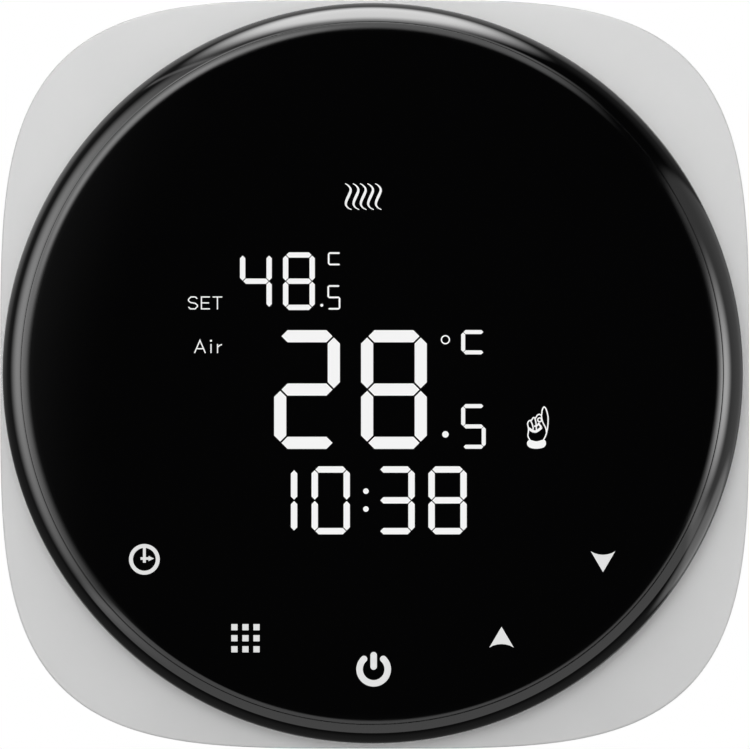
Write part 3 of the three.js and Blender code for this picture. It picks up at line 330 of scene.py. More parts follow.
class Look:
    """A Principled material with helpers that drive its sockets from noise."""

    def __init__(self, name, color, roughness, metallic=0.0, **sockets):
        self.material = bpy.data.materials.new(name)
        self.material.use_nodes = True
        self.nodes = self.material.node_tree.nodes
        self.links = self.material.node_tree.links
        self.shader = self.nodes["Principled BSDF"]
        self.color, self.roughness = color, roughness
        self.set("Base Color", (*color, 1.0))
        self.set("Roughness", roughness)
        self.set("Metallic", metallic)
        for socket, value in sockets.items():
            self.set(socket.replace("_", " "), value)

    def set(self, socket, value):
        self.shader.inputs[socket].default_value = value

    def noise(self, scale, detail=3.0, stretch=(1, 1, 1), distortion=0.0):
        """Noise in object space, with its scale in features per metre."""
        place = self.nodes.new("ShaderNodeTexCoord")
        mapping = self.nodes.new("ShaderNodeMapping")
        mapping.inputs["Scale"].default_value = stretch
        texture = self.nodes.new("ShaderNodeTexNoise")
        texture.inputs["Scale"].default_value = scale
        texture.inputs["Detail"].default_value = detail
        texture.inputs["Distortion"].default_value = distortion
        self.links.new(place.outputs["Object"], mapping.inputs["Vector"])
        self.links.new(mapping.outputs["Vector"], texture.inputs["Vector"])
        return texture.outputs["Fac"]

    def spread(self, factor, low, high, start=0.35, end=0.65):
        """Maps the middle of a noise onto a range of values."""
        node = self.nodes.new("ShaderNodeMapRange")
        node.inputs["From Min"].default_value = start
        node.inputs["From Max"].default_value = end
        node.inputs["To Min"].default_value = low
        node.inputs["To Max"].default_value = high
        self.links.new(factor, node.inputs["Value"])
        return node.outputs["Result"]

    def vary_roughness(self, scale, amount, **noise):
        low, high = self.roughness - amount, self.roughness + amount
        fac = self.spread(self.noise(scale, **noise), low, high)
        self.links.new(fac, self.shader.inputs["Roughness"])
        return self

    def vary_color(self, scale, other, amount=1.0, **noise):
        mix = self.nodes.new("ShaderNodeMix")
        mix.data_type = "RGBA"
        mix.inputs["A"].default_value = (*self.color, 1.0)
        mix.inputs["B"].default_value = (*other, 1.0)
        self.links.new(self.spread(self.noise(scale, **noise), 0.0, amount), mix.inputs["Factor"])
        self.links.new(mix.outputs["Result"], self.shader.inputs["Base Color"])
        return self

    def bump(self, scale, height_mm, strength=1.0, **noise):
        node = self.nodes.new("ShaderNodeBump")
        node.inputs["Strength"].default_value = strength
        node.inputs["Distance"].default_value = height_mm * MM
        before = self.shader.inputs["Normal"].links
        if before:
            self.links.new(before[0].from_socket, node.inputs["Normal"])
        self.links.new(self.noise(scale, **noise), node.inputs["Height"])
        self.links.new(node.outputs["Normal"], self.shader.inputs["Normal"])
        return self


def moulded(name, color, roughness, grain=0.004, tint=0.97, **sockets):
    """Moulded plastic: a fine spark-eroded grain, and slow changes of tone and gloss."""
    look = Look(name, color, roughness, **sockets)
    look.vary_color(60, tuple(c * tint for c in color), detail=2.0)
    look.vary_roughness(150, 0.04, detail=2.0)
    look.bump(4200, grain, detail=2.0)
    return look.material


def glossy_black(name, roughness, **sockets):
    """Polished black with very faint wiping marks in its gloss."""
    look = Look(name, (0.0005, 0.0005, 0.0006), roughness, **sockets)
    look.vary_roughness(45, 0.35 * roughness, detail=5.0, distortion=0.6)
    return look.material


def rolled_steel(name, color, roughness, stretch=(1, 1, 14)):
    """Plated sheet or bar: grain along the rolling direction and soft cloudy plating."""
    look = Look(name, color, roughness, metallic=1.0)
    look.vary_color(90, tuple(c * 0.92 for c in color), detail=4.0)
    look.vary_roughness(300, 0.06, detail=4.0, stretch=stretch)
    look.bump(900, 0.0012, detail=3.0, stretch=stretch)
    return look.material


def lit(name, level):
    """A lit mark: its own light, with the glass's reflection on top."""
    look = Look(name, (0.01, 0.01, 0.01), 0.06)
    look.set("Emission Color", (1.0, 1.0, 1.0, 1.0))
    look.set("Emission Strength", level)
    return look.material


def circuit_board(name):
    """Green solder mask with faint straight tracks under it."""
    look = Look(name, (0.014, 0.15, 0.055), 0.35)
    look.vary_color(420, (0.03, 0.25, 0.09), detail=0.0, stretch=(1, 1, 6))
    look.bump(420, 0.02, detail=0.0, stretch=(1, 1, 6))
    return look.material


def ceramic(name, color):
    """Smooth fired clay with slow changes of tone."""
    look = Look(name, color, 0.35)
    look.vary_color(500, tuple(c * 0.9 for c in color))
    return look.material


MATERIALS = {
    "face_glass": [
        glossy_black("face_glass", 0.035),
        glossy_black("rounded_glass_edge", 0.07),
    ],
    "rim_black": [glossy_black("rim_gloss", 0.055)],
    "trim_white": [moulded("trim_satin", (0.70, 0.70, 0.70), 0.48, 0.0025)],
    "housing_white": [moulded("housing_matt", (0.74, 0.74, 0.72), 0.62, 0.01)],
    "foam_black": [moulded("foam_tape", (0.012, 0.012, 0.012), 0.95, 0.05)],
    "lcd_dark": [lit("lit_segments", 0.89), lit("lit_icons", 0.74)],
    "diffuser_white": [moulded("light_guide", (0.85, 0.88, 0.9), 0.3)],
    "contact_rubber": [moulded("zebra_rubber", (0.45, 0.45, 0.44), 0.8, 0.02, 0.4)],
    "board_green": [circuit_board("solder_mask")],
    "spring_steel": [rolled_steel("spring_wire", (0.66, 0.65, 0.62), 0.22)],
    "chip_black": [moulded("chip_epoxy", (0.018, 0.018, 0.02), 0.6)],
    "black_plastic": [moulded("black_nylon", (0.016, 0.016, 0.018), 0.5)],
    "cell_steel": [rolled_steel("cell_can", (0.68, 0.68, 0.66), 0.3, (1, 1, 1))],
    "gold_pins": [rolled_steel("gold_plate", (0.85, 0.62, 0.25), 0.25)],
    "relay_blue": [moulded("relay_cover", (0.02, 0.09, 0.38), 0.3)],
    "copper_winding": [rolled_steel("enamelled_wire", (0.72, 0.28, 0.10), 0.3, (1, 40, 1))],
    "yoke_steel": [rolled_steel("soft_iron", (0.56, 0.57, 0.58), 0.35)],
    "contact_brass": [rolled_steel("leaf_bronze", (0.75, 0.50, 0.24), 0.3)],
    "ferrite": [moulded("ferrite_grey", (0.045, 0.045, 0.05), 0.7, 0.03)],
    "winding_tape": [moulded("yellow_tape", (0.70, 0.46, 0.05), 0.3)],
    "can_sleeve": [moulded("can_sleeve_pvc", (0.015, 0.03, 0.07), 0.25)],
    "film_box": [moulded("film_capacitor_box", (0.55, 0.40, 0.09), 0.45)],
    "fuse_ceramic": [ceramic("fuse_tube", (0.74, 0.70, 0.60))],
    "varistor_blue": [moulded("varistor_epoxy", (0.03, 0.10, 0.42), 0.3, 0.02)],
    "terminal_green": [moulded("terminal_polyamide", (0.02, 0.23, 0.085), 0.42)],
    "clamp_brass": [rolled_steel("tinned_brass", (0.72, 0.66, 0.50), 0.33)],
    "zinc_steel": [rolled_steel("bright_zinc", (0.60, 0.61, 0.63), 0.30)],
}


# ------------------------------------------------------------------ glass and bezel


def make_cover_glass():
    """The cover glass: flat, with a shallow parabola near its edge and a fine rounding at it."""
    low, high = box_mm("touch_glass")
    radius, front, back = high.x + GLASS_FILL, low.y, high.y
    edge = GLASS_EDGE
    shoulder = radius - GLASS_ROUND_WIDTH
    profile = [(AXIS, front), (shoulder - 0.5, front)]
    steps = 10
    for i in range(steps + 1):
        along = i / steps
        out, fall = (GLASS_ROUND_WIDTH - edge) * along, GLASS_ROUND_DEPTH * along ** 2
        profile.append((shoulder + out, front + fall))
    profile += arc((radius - edge, front + GLASS_ROUND_DEPTH + edge), (edge, edge), -72, 0, 4)
    profile += [(radius, back - GLASS_BACK_EDGE), (radius - GLASS_BACK_EDGE, back), (AXIS, back)]
    bm = bmesh.new()
    turned(bm, profile)
    piece = smooth(piece_from("cover_glass", bm), 20)
    dress(piece, BODY, "face_glass", "touch_glass")
    for face in piece.data.polygons:
        from_axis = math.hypot(face.center.x, face.center.z) / MM
        in_front = face.center.y / MM < back - 2 * GLASS_BACK_EDGE
        face.material_index = int(shoulder < from_axis and in_front)


def make_bezel():
    """The black front shell: rounded rim, glass pocket, skirt and four bosses."""
    low, high = box_mm("front_bezel")
    front, back, outside = low.y, high.y, high.x
    pocket = outside - RIM_FACE
    inside = pocket - LEDGE_WIDTH
    skirt = inside + BEZEL_WALL
    ledge = box_mm("glass_adhesive")[1].y
    rim_back = box_mm("trim_plate")[0].y - FIT
    lip = RIM_LIP
    turned_by = math.radians(RIM_START)
    rim_width = (RIM_FACE - lip) / (1 - math.sin(turned_by))
    rim_depth = RIM_ROUND_DEPTH / math.cos(turned_by)
    middle = (outside - rim_width, front + RIM_ROUND_DEPTH)
    profile = [(pocket, ledge), (pocket, front + lip)]
    profile += arc((pocket + lip, front + lip), (lip, lip), 180, 262, 4)
    profile += arc(middle, (rim_width, rim_depth), RIM_START - 90, 0, 28)
    profile += [
        (outside, rim_back - RIM_BACK_EDGE), (outside - RIM_BACK_EDGE, rim_back),
        (skirt, rim_back), (skirt, back), (inside, back), (inside, ledge),
    ]
    bm = bmesh.new()
    turned(bm, profile, closed=True)
    piece = piece_from("bezel_shell", bm)

    board_front = box_mm("display_board")[0].y
    boss_circle = inside - BOSS_RADIUS + BOSS_INSET
    posts, holes = bmesh.new(), bmesh.new()
    for angle in BOSS_ANGLES:
        x, z = polar(boss_circle, angle)
        turned(posts, [
            (SHOULDER_RADIUS, ledge), (SHOULDER_RADIUS, board_front),
            (BOSS_RADIUS, board_front), (BOSS_RADIUS, back),
        ], x, z, 40)
        turned(holes, [(BOSS_HOLE, back - BOSS_HOLE_DEPTH), (BOSS_HOLE, back + 1)], x, z, 32)
    combined(piece, "UNION", piece_from("posts", posts))
    combined(piece, "DIFFERENCE", piece_from("holes", holes))
    smooth(piece, 30)
    dress(piece, BODY, "rim_black", "front_bezel")


# ------------------------------------------------------------------ trim plate


def make_trim():
    """The white plate: rounded square outside, collar inside, hooks, vents and a notch."""
    low, high = box_mm("trim_plate")
    half, front, back = high.x, low.y, high.y
    inner = half - TRIM_WALL
    under = front + TRIM_WALL
    bezel_high = box_mm("front_bezel")[1]
    collar_in = bezel_high.x - RIM_FACE - LEDGE_WIDTH + BEZEL_WALL + FIT
    collar_out = collar_in + TRIM_WALL
    collar_back = box_mm("rear_housing")[0].y
    edge, fine = TRIM_EDGE, TRIM_BREAK

    def ring_of(radius, depth):
        return circle(radius, depth, steps=OUTLINE_STEPS)

    loops = [
        ring_of(collar_in, collar_back),
        ring_of(collar_in, front + fine),
        ring_of(collar_in + fine, front),
    ]
    for reach, depth in arc((half - edge, front + edge), (edge, edge), -90, 0, 6):
        loops.append(rounded_square(reach, depth))
    loops += [
        rounded_square(half, back - 2 * fine),
        rounded_square(half - 2 * fine, back),
        rounded_square(inner + fine, back),
        rounded_square(inner, back - fine),
        rounded_square(inner, under),
        ring_of(collar_out, under),
        ring_of(collar_out, collar_back),
    ]
    bm = bmesh.new()
    loft(bm, loops, closed=True)
    piece = piece_from("trim_cover", bm)
    combined(piece, "UNION", make_hooks(inner, front))

    cutters = bmesh.new()
    deep = 2 * TRIM_WALL
    vent_front, vent_back = under + VENT_MARGINS[0], back - VENT_MARGINS[1]
    for wall in (-half, half):
        for i in range(VENT_COUNT):
            middle = (i - (VENT_COUNT - 1) / 2) * VENT_PITCH
            left, right = middle - VENT_WIDTH / 2, middle + VENT_WIDTH / 2
            brick(cutters, (left, vent_front, wall - deep), (right, vent_back, wall + deep))
    brick(
        cutters,
        (-NOTCH_HALF_WIDTH, back - NOTCH_HEIGHT, -half - deep),
        (NOTCH_HALF_WIDTH, back + 1, -half + deep),
    )
    combined(piece, "DIFFERENCE", piece_from("vent_cutters", cutters))
    smooth(piece, 34)
    dress(piece, BODY, "trim_white", "trim_plate")


def make_hooks(inner, front):
    """The four corner hooks, whose noses stop short of the mounting plate's tabs."""
    corner = math.sqrt(2) * 0.5 ** (1 / TRIM_POWER) * inner
    tip = corner - TAB_MARGIN - MOUNTING_PLATE_THICKNESS - FIT
    face = tip - HOOK_NOSE
    root = face - HOOK_THICKNESS
    start = front + TRIM_WALL - HOOK_ROOT
    end = box_mm("rear_housing")[0].y + TAB_HEIGHT - HOOK_END_GAP
    nose = front + TRIM_WALL + HOOK_SETBACK + FIT
    outline = [
        (root, start), (face, start), (face, nose),
        (tip, nose + HOOK_NOSE_RAMP), (face + HOOK_TIP, end), (root, end),
    ]
    bm = bmesh.new()
    for angle in (45, 135, 225, 315):
        out_x, out_z = polar(1.0, angle)
        loft(bm, [
            [(u * out_x - side * out_z, y, u * out_z + side * out_x) for u, y in outline]
            for side in (-HOOK_HALF_WIDTH, HOOK_HALF_WIDTH)
        ])
    return piece_from("hooks", bm)


# ------------------------------------------------------------------ CAD shapes with soft edges


def soften(node, name, body, slot, width):
    """Stands for a CAD node by the same shape with small rounded edges."""
    bm = bmesh.new()
    bm.from_mesh(frame["nodes"][node].data)
    bmesh.ops.remove_doubles(bm, verts=bm.verts, dist=1e-6)
    same_plane = math.radians(0.6)
    bmesh.ops.dissolve_limit(bm, angle_limit=same_plane, verts=bm.verts, edges=bm.edges)
    mesh = bpy.data.meshes.new(name)
    bm.to_mesh(mesh)
    bm.free()
    piece = link(name, mesh)
    bevel = piece.modifiers.new("edges", "BEVEL")
    bevel.width = width * MM
    bevel.segments = 2
    bevel.limit_method = "ANGLE"
    bevel.angle_limit = math.radians(50)
    bake_modifiers(piece)
    smooth(piece)
    normals = piece.modifiers.new("flat faces stay flat", "WEIGHTED_NORMAL")
    normals.weight = 100
    normals.keep_sharp = True
    bake_modifiers(piece)
    dress(piece, body, slot, node)


def make_soft_edged_parts():
    soften("rear_housing", "wall_box", BODY, "housing_white", HOUSING_EDGE)
    soften("terminal_block", "terminal_body", BODY, "terminal_green", BLOCK_EDGE)
    soften("mounting_plate", "wall_mounting_plate", "wall_plate", "zinc_steel", PLATE_EDGE)
    for number in range(1, 7):
        node, name, body = f"terminal_clamp_{number}", f"wire_cage_{number}", f"clamp_{number}"
        soften(node, name, body, "clamp_brass", CAGE_EDGE)


# ------------------------------------------------------------------ screws


def threaded(start, end, core, crest, pitch, x, z, head, steps=40):
    """A screw along Y: its thread as a helical ridge on the shank, then the head's profile."""
    bm = bmesh.new()
    length = abs(end - start)
    way = 1 if end > start else -1
    rows = int(length / pitch * THREAD_ROWS)
    loops = []
    for row in range(rows + 1):
        along = length * row / rows
        point = min(1.0, 0.25 + along / (2.2 * crest))
        fade = min(1.0, (length - along) / pitch)
        loop = []
        for i in range(steps):
            phase = (along / pitch - way * i / steps) % 1.0
            ridge = max(0.0, 1.0 - RIDGE_SLOPE * abs(phase - 0.5))
            radius = point * (core + (crest - core) * ridge * fade)
            across, up = polar(radius, 360 * i / steps)
            loop.append((x + across, start + way * along, z + up))
        loops.append(loop)
    loops += [circle(r, y, x, z, steps) for r, y in head]
    loft(bm, loops)
    return bm


def recess_arm(x, z, long_scale, wide_scale, floor, top):
    """A cutter for two opposite arms of a cross recess, which narrow towards the floor."""
    bm = bmesh.new()
    loops = []
    for flare, depth in ((0.55, floor), (1.15, top)):
        across, up = long_scale * flare, wide_scale * flare
        loops.append([
            (x - across, depth, z - up), (x + across, depth, z - up),
            (x + across, depth, z + up), (x - across, depth, z + up),
        ])
    loft(bm, loops)
    return piece_from("recess", bm)


def pan_head(seat, radius, height, way):
    """Profile of a domed head that starts at its seat and rises along the given way."""
    profile = [(radius * 0.98, seat), (radius, seat + way * 0.08)]
    centre = (0.42 * radius, seat + way * 0.25 * height)
    profile += arc(centre, (0.58 * radius, way * 0.75 * height), 10, 90, 8)
    profile.append((0.01, seat + way * height))
    return profile


def make_pan_screw(node, name, body, way, thread, head_height, pitch):
    """A screw with a domed head and a cross recess. Its way is 1 if the head looks along +Y."""
    low, high = box_mm(node)
    x, z = (low.x + high.x) / 2, (low.z + high.z) / 2
    radius = (high.x - low.x) / 2
    tip, top = (low.y, high.y) if way > 0 else (high.y, low.y)
    seat = top - way * head_height
    head = [(thread * 0.8, seat)] + pan_head(seat, radius, head_height, way)
    core = SCREW_CORE * thread
    piece = piece_from(name, threaded(tip, seat - way * 0.5, core, thread, pitch, x, z, head))
    floor, above = top - way * RECESS_DEPTH * head_height, top + way * 0.2
    arm, blade = RECESS_ARM * radius, RECESS_BLADE * radius
    for across, up in ((arm, blade), (blade, arm)):
        combined(piece, "DIFFERENCE", recess_arm(x, z, across, up, floor, above))
    smooth(piece, 40)
    dress(piece, body, "zinc_steel", node)


def make_terminal_screw(number):
    """A clamp screw with a slotted cylinder head."""
    node = f"terminal_screw_{number}"
    low, high = box_mm(node)
    x, z, top = (low.x + high.x) / 2, (low.z + high.z) / 2, high.y
    radius = (high.x - low.x) / 2
    seat = top - TERMINAL_HEAD_HEIGHT
    head = [
        (TERMINAL_CORE, seat), (radius - 0.12, seat), (radius, seat + 0.12),
        (radius, top - 0.25), (radius - 0.08, top - 0.08), (radius - 0.25, top), (0.01, top),
    ]
    piece = piece_from(f"clamp_screw_{number}", threaded(
        low.y, seat - 0.3, TERMINAL_CORE, TERMINAL_THREAD, TERMINAL_PITCH, x, z, head,
    ))
    slot = bmesh.new()
    half, depth = TERMINAL_SLOT
    brick(slot, (x - 2 * radius, top - depth, z - half), (x + 2 * radius, top + 1, z + half))
    combined(piece, "DIFFERENCE", piece_from("slot", slot))
    smooth(piece, 40)
    dress(piece, f"screw_{number}", "zinc_steel", node)


def make_screws():
    for number in range(1, 7):
        make_terminal_screw(number)
    for number in range(1, 5):
        make_pan_screw(f"housing_screw_{number}", f"shell_screw_{number}", BODY, **HOUSING_SCREW)
    for side in ("left", "right"):
        make_pan_screw(f"wall_screw_{side}", f"plate_screw_{side}", "wall_plate", **WALL_SCREW)


# ------------------------------------------------------------------ lit marks


class Marks:
    """Flat lit marks on the glass, drawn in millimetres from the middle of the face."""

    def __init__(self):
        self.bm = bmesh.new()
        glass = box_mm("touch_glass")[0].y
        self.front, self.back = glass - PRINT_PROUD, glass + PRINT_DEEP

    def fill(self, outline):
        prism(self.bm, outline, self.front, self.back)

    def bar(self, x0, x1, z0, z1):
        self.fill([(x0, z0), (x1, z0), (x1, z1), (x0, z1)])

    def dot(self, x, z, radius, steps=40):
        self.fill(disc(x, z, radius, steps))

    def ribbon(self, points, width, closed=False):
        """A stroke along the points with mitred corners. The width may be a list."""
        count = len(points)
        widths = width if isinstance(width, (list, tuple)) else [width] * count
        left, right = [], []
        for i, (x, z) in enumerate(points):
            before = points[i - 1] if i or closed else None
            after = points[(i + 1) % count] if i < count - 1 or closed else None
            ways = []
            if before is not None:
                ways.append(Vector((x - before[0], z - before[1])).normalized())
            if after is not None:
                ways.append(Vector((after[0] - x, after[1] - z)).normalized())
            normals = [Vector((-way.y, way.x)) for way in ways]
            across = sum(normals, Vector((0, 0))).normalized()
            reach = widths[i] / 2 / max(0.35, across.dot(normals[0]))
            left.append((x + across.x * reach, z + across.y * reach))
            right.append((x - across.x * reach, z - across.y * reach))
        sections = [
            [
                self.bm.verts.new((x, depth, z))
                for (x, z), depth in (
                    (left[i], self.front), (right[i], self.front),
                    (right[i], self.back), (left[i], self.back),
                )
            ]
            for i in range(count)
        ]
        for i in range(count if closed else count - 1):
            first, second = sections[i], sections[(i + 1) % count]
            for j in range(4):
                k = (j + 1) % 4
                self.bm.faces.new((first[j], second[j], second[k], first[k]))
        if not closed:
            self.bm.faces.new(sections[0])
            self.bm.faces.new(sections[-1])

    def bend(self, x, z, radius, start, end, width, steps):
        """A stroke along an arc, with angles in degrees from +X."""
        self.ribbon(arc((x, z), (radius, radius), start, end, steps), width)

    def ring(self, x, z, outer, width, steps=72):
        self.ribbon(disc(x, z, outer - width / 2, steps), width, closed=True)

    def digit(self, text, x, z, width, height, thick, gap):
        """A seven-segment figure whose box has its lower left corner at (x, z)."""
        lit_segments = {
            "0": "abcdef", "1": "bc", "2": "abged", "3": "abgcd", "4": "fgbc",
            "5": "afgcd", "6": "afgedc", "7": "abc", "8": "abcdefg", "9": "abcdfg", "C": "afg",
        }[text]
        half = thick / 2
        left, right = x + half, x + width - half
        bottom, middle, top = z + half, z + height / 2, z + height - half
        ends = {
            "a": ((left, top), (right, top)),
            "b": ((right, middle), (right, top)),
            "c": ((right, bottom), (right, middle)),
            "d": ((left, bottom), (right, bottom)),
            "e": ((left, bottom), (left, middle)),
            "f": ((left, middle), (left, top)),
            "g": ((left, middle), (right, middle)),
        }
        for name in lit_segments:
            (x0, z0), (x1, z1) = ends[name]
            if name in "adg":
                a, b = x0 + gap, x1 - gap
                self.fill([
                    (a, z0), (a + half, z0 - half), (b - half, z0 - half),
                    (b, z0), (b - half, z0 + half), (a + half, z0 + half),
                ])
            else:
                a, b = z0 + gap, z1 - gap
                self.fill([
                    (x0, a), (x0 + half, a + half), (x0 + half, b - half),
                    (x0, b), (x0 - half, b - half), (x0 - half, a + half),
                ])

    def done(self, name, light=FIGURE_LIGHT):
        piece = dress(piece_from(name, self.bm), BODY, "lcd_dark")
        piece.data.materials.clear()
        piece.data.materials.append(MATERIALS["lcd_dark"][light])


def smooth_path(points, closed=False, steps=6):
    """A Catmull-Rom curve through the points."""
    count = len(points)
    path = []
    for i in range(count if closed else count - 1):
        if closed:
            p = [points[(i + k) % count] for k in (-1, 0, 1, 2)]
        else:
            p = [points[min(max(i + k, 0), count - 1)] for k in (-1, 0, 1, 2)]
        for j in range(steps):
            t = j / steps
            weights = (
                (-t + 2 * t * t - t ** 3) / 2,
                (2 - 5 * t * t + 3 * t ** 3) / 2,
                (t + 4 * t * t - 3 * t ** 3) / 2,
                (t ** 3 - t * t) / 2,
            )
            path.append(tuple(sum(w * q[axis] for w, q in zip(weights, p)) for axis in (0, 1)))
    return path if closed else path + [points[-1]]


def make_room_temperature():
    """The big figures in the middle, with the degree sign and the tenths."""
    marks = Marks()
    base = -10.02
    marks.digit("2", -12.92, base, **ROOM_FIGURES)
    marks.digit("8", -1.44, base, **ROOM_FIGURES)
    marks.dot(9.70, -8.10, 0.43)
    marks.ring(9.70, 4.40, 0.61, 0.17, 32)
    marks.digit("C", 11.78, -0.22, **ROOM_SMALL_FIGURES)
    marks.digit("5", 11.78, -10.00, **ROOM_SMALL_FIGURES)
    marks.done("lcd_room_temperature")


def make_set_temperature():
    """The set temperature's smaller figures, up on the left."""
    marks = Marks()
    base = 8.32
    marks.digit("4", -17.43, base, **SET_FIGURES)
    marks.digit("8", -11.75, base, **SET_FIGURES)
    marks.dot(-6.63, 8.95, 0.20, 24)
    marks.digit("C", -5.83, 12.72, **SET_SMALL_FIGURES)
    marks.digit("5", -5.89, 8.37, **SET_SMALL_FIGURES)
    marks.done("lcd_set_temperature")


def make_clock_figures():
    """Hours and minutes under the temperatures."""
    marks = Marks()
    for figure, left in (("1", -14.93), ("0", -7.98), ("3", 0.58), ("8", 7.45)):
        marks.digit(figure, left, -21.30, **CLOCK_FIGURES)
    for up in (-15.60, -17.96):
        marks.dot(-0.80, up, 0.37, 32)
    marks.done("lcd_clock")


def make_labels():
    """The two small plain labels, letter by letter: x is a letter's left edge, w its width."""
    marks = Marks()
    stroke = LABEL_STROKE
    half = stroke / 2
    low, high = 8.40, 10.12
    middle = (low + high) / 2
    x, w = -24.30, 1.32
    marks.ribbon([
        (x + w - 0.1, high - 0.30), (x + w - 0.35, high - half), (x + 0.38, high - half),
        (x + half, high - 0.38), (x + half, middle + 0.28), (x + 0.36, middle + 0.05),
        (x + w - 0.36, middle - 0.05), (x + w - half, middle - 0.30),
        (x + w - half, low + 0.38), (x + w - 0.38, low + half), (x + 0.33, low + half),
        (x + 0.06, low + 0.32),
    ], stroke)
    x, w = -22.60, 1.20
    marks.ribbon([
        (x + w, high - half), (x + half, high - half), (x + half, low + half), (x + w, low + half),
    ], stroke)
    marks.bar(x + stroke, x + w - 0.12, middle - half, middle + half)
    x, w = -21.05, 1.28
    marks.bar(x, x + w, high - stroke, high)
    marks.bar(x + w / 2 - half, x + w / 2 + half, low, high - stroke)

    low, high, x_height = 2.64, 4.36, 3.83
    x, w = -23.51, 1.58
    marks.ribbon([(x + half, low), (x + w / 2, high - 0.05), (x + w - half, low)], stroke)
    marks.bar(x + 0.42, x + 1.17, low + 0.50, low + 0.50 + stroke)
    x = -21.26 - half
    marks.bar(x, x + stroke, low, x_height)
    marks.dot(x + half, high - 0.10, 0.14, 16)
    x = -20.47
    marks.bar(x, x + stroke, low, x_height)
    marks.ribbon([
        (x + stroke, x_height - 0.38), (x + 0.34, x_height - 0.17), (x + 0.66, x_height - half),
    ], stroke)
    marks.done("lcd_labels")


def make_heating_symbol():
    """Five waves of warm air, each hooked at its ends and thickest at its middle."""
    marks = Marks()
    low, high, width = 21.58, 25.02, 0.84
    wave = [
        (0.00, 0.00), (0.42, 0.06), (0.80, 0.17), (0.86, 0.28), (0.67, 0.41),
        (0.40, 0.55), (0.16, 0.70), (0.14, 0.82), (0.46, 0.93), (1.00, 1.00),
    ]
    for left in (-3.55, -2.53, -1.57, -0.60, 0.42):
        points = smooth_path([(left + u * width, high + (low - high) * v) for u, v in wave])
        last = len(points) - 1
        widths = [0.10 + 0.25 * math.sin(math.pi * i / last) ** 1.3 for i in range(last + 1)]
        marks.ribbon(points, widths)
    marks.done("lcd_heating_symbol")


def make_hand_symbol():
    """A plain hand with one raised finger, for manual mode: cuff, palm, fist and finger."""
    marks = Marks()
    x, z = 21.80, -7.20

    def stroke(points, width):
        marks.ribbon(smooth_path([(x + u, z + v) for u, v in points]), width)

    cuff = [
        (-1.02, -1.64), (-1.34, -2.12), (-0.98, -2.64), (-0.05, -2.80),
        (0.90, -2.60), (1.18, -2.10), (0.92, -1.60), (-0.05, -1.82),
    ]
    marks.fill(smooth_path([(x + u, z + v) for u, v in cuff], closed=True))
    stroke([
        (-0.90, -1.70), (-1.20, -1.10), (-1.12, -0.25), (-1.24, 0.55), (-1.02, 0.90),
        (-0.72, 1.00), (-0.50, 1.30), (-0.20, 1.27), (0.02, 1.60), (0.30, 1.75), (0.58, 1.66),
        (0.68, 2.30), (0.92, 2.72), (1.20, 2.40), (1.42, 1.60), (1.46, 0.90), (1.38, -0.10),
        (1.16, -1.00), (0.84, -1.66),
    ], 0.17)
    stroke([(0.58, 1.66), (0.66, 1.00), (0.86, 0.48), (1.14, -0.05), (1.24, -0.60)], 0.16)
    stroke([(-1.10, -0.10), (-0.62, -0.44), (-0.12, -0.50), (0.38, -0.18), (0.58, 0.06)], 0.34)
    stroke([(-0.86, 0.92), (-0.66, 0.50), (-0.52, 0.00), (-0.56, -0.36)], 0.17)
    stroke([(-0.28, 1.24), (-0.16, 0.70), (-0.12, 0.30), (-0.08, -0.36)], 0.17)
    stroke([(-0.40, 0.16), (0.02, 0.28), (0.26, 0.62)], 0.20)
    stroke([(0.58, 0.06), (0.36, 0.30), (0.18, 0.62)], 0.24)
    marks.ring(x + 0.34, z + 1.02, 0.34, 0.17, 28)
    marks.done("lcd_hand_symbol")


def key_place(index):
    """Where a key's sign stands: on the keys' arc, centred by listed offsets."""
    x, z = polar(KEY_ARC_RADIUS, -90 + (index - 2) * KEY_ARC_STEP)
    dx, dz = KEY_SIGN_OFFSETS[index]
    return x + dx, z + dz


def make_key_icons():
    """The five touch keys' signs: clock, menu, power, up and down."""
    x, z = key_place(0)
    marks = Marks()
    marks.ring(x, z, 2.03, 0.52)
    marks.bar(x - 0.19, x + 0.19, z - 0.44, z + 1.51)
    marks.bar(x - 0.50, x - 0.19, z - 0.06, z + 0.28)
    marks.bar(x + 0.19, x + 0.55, z - 0.06, z + 0.28)
    marks.fill([(x + 0.55, z - 0.24), (x + 1.27, z + 0.11), (x + 0.55, z + 0.46)])
    marks.done("key_icon_clock", SIGN_LIGHT)

    x, z = key_place(1)
    marks = Marks()
    pitch, half = 1.46, 0.41
    for left in (x - pitch, x, x + pitch):
        for low in (z - pitch, z, z + pitch):
            marks.bar(left - half, left + half, low - half, low + half)
    marks.done("key_icon_menu", SIGN_LIGHT)

    x, z = key_place(2)
    marks = Marks()
    half, radius, foot = 0.43, 1.86, 0.36
    start, end = 133, 407
    marks.bend(x, z, radius, start, end, 2 * half, 56)
    marks.bar(x - half, x + half, z + foot, z + radius)
    for across, up in (polar(radius, start), polar(radius, end), (0, foot), (0, radius)):
        marks.dot(x + across, z + up, half, 32)
    marks.done("key_icon_power", SIGN_LIGHT)

    for index, way, name in ((3, 1, "key_icon_up"), (4, -1, "key_icon_down")):
        x, z = key_place(index)
        marks = Marks()
        base = [(x + u, z + way * v) for u, v in (
            (-1.62, -1.40), (-1.10, -1.13), (-0.55, -0.98), (0.0, -0.93),
            (0.55, -0.98), (1.10, -1.13), (1.62, -1.40),
        )]
        marks.fill([(x, z + way * 1.36)] + base)
        marks.done(name, SIGN_LIGHT)


# ------------------------------------------------------------------ studio


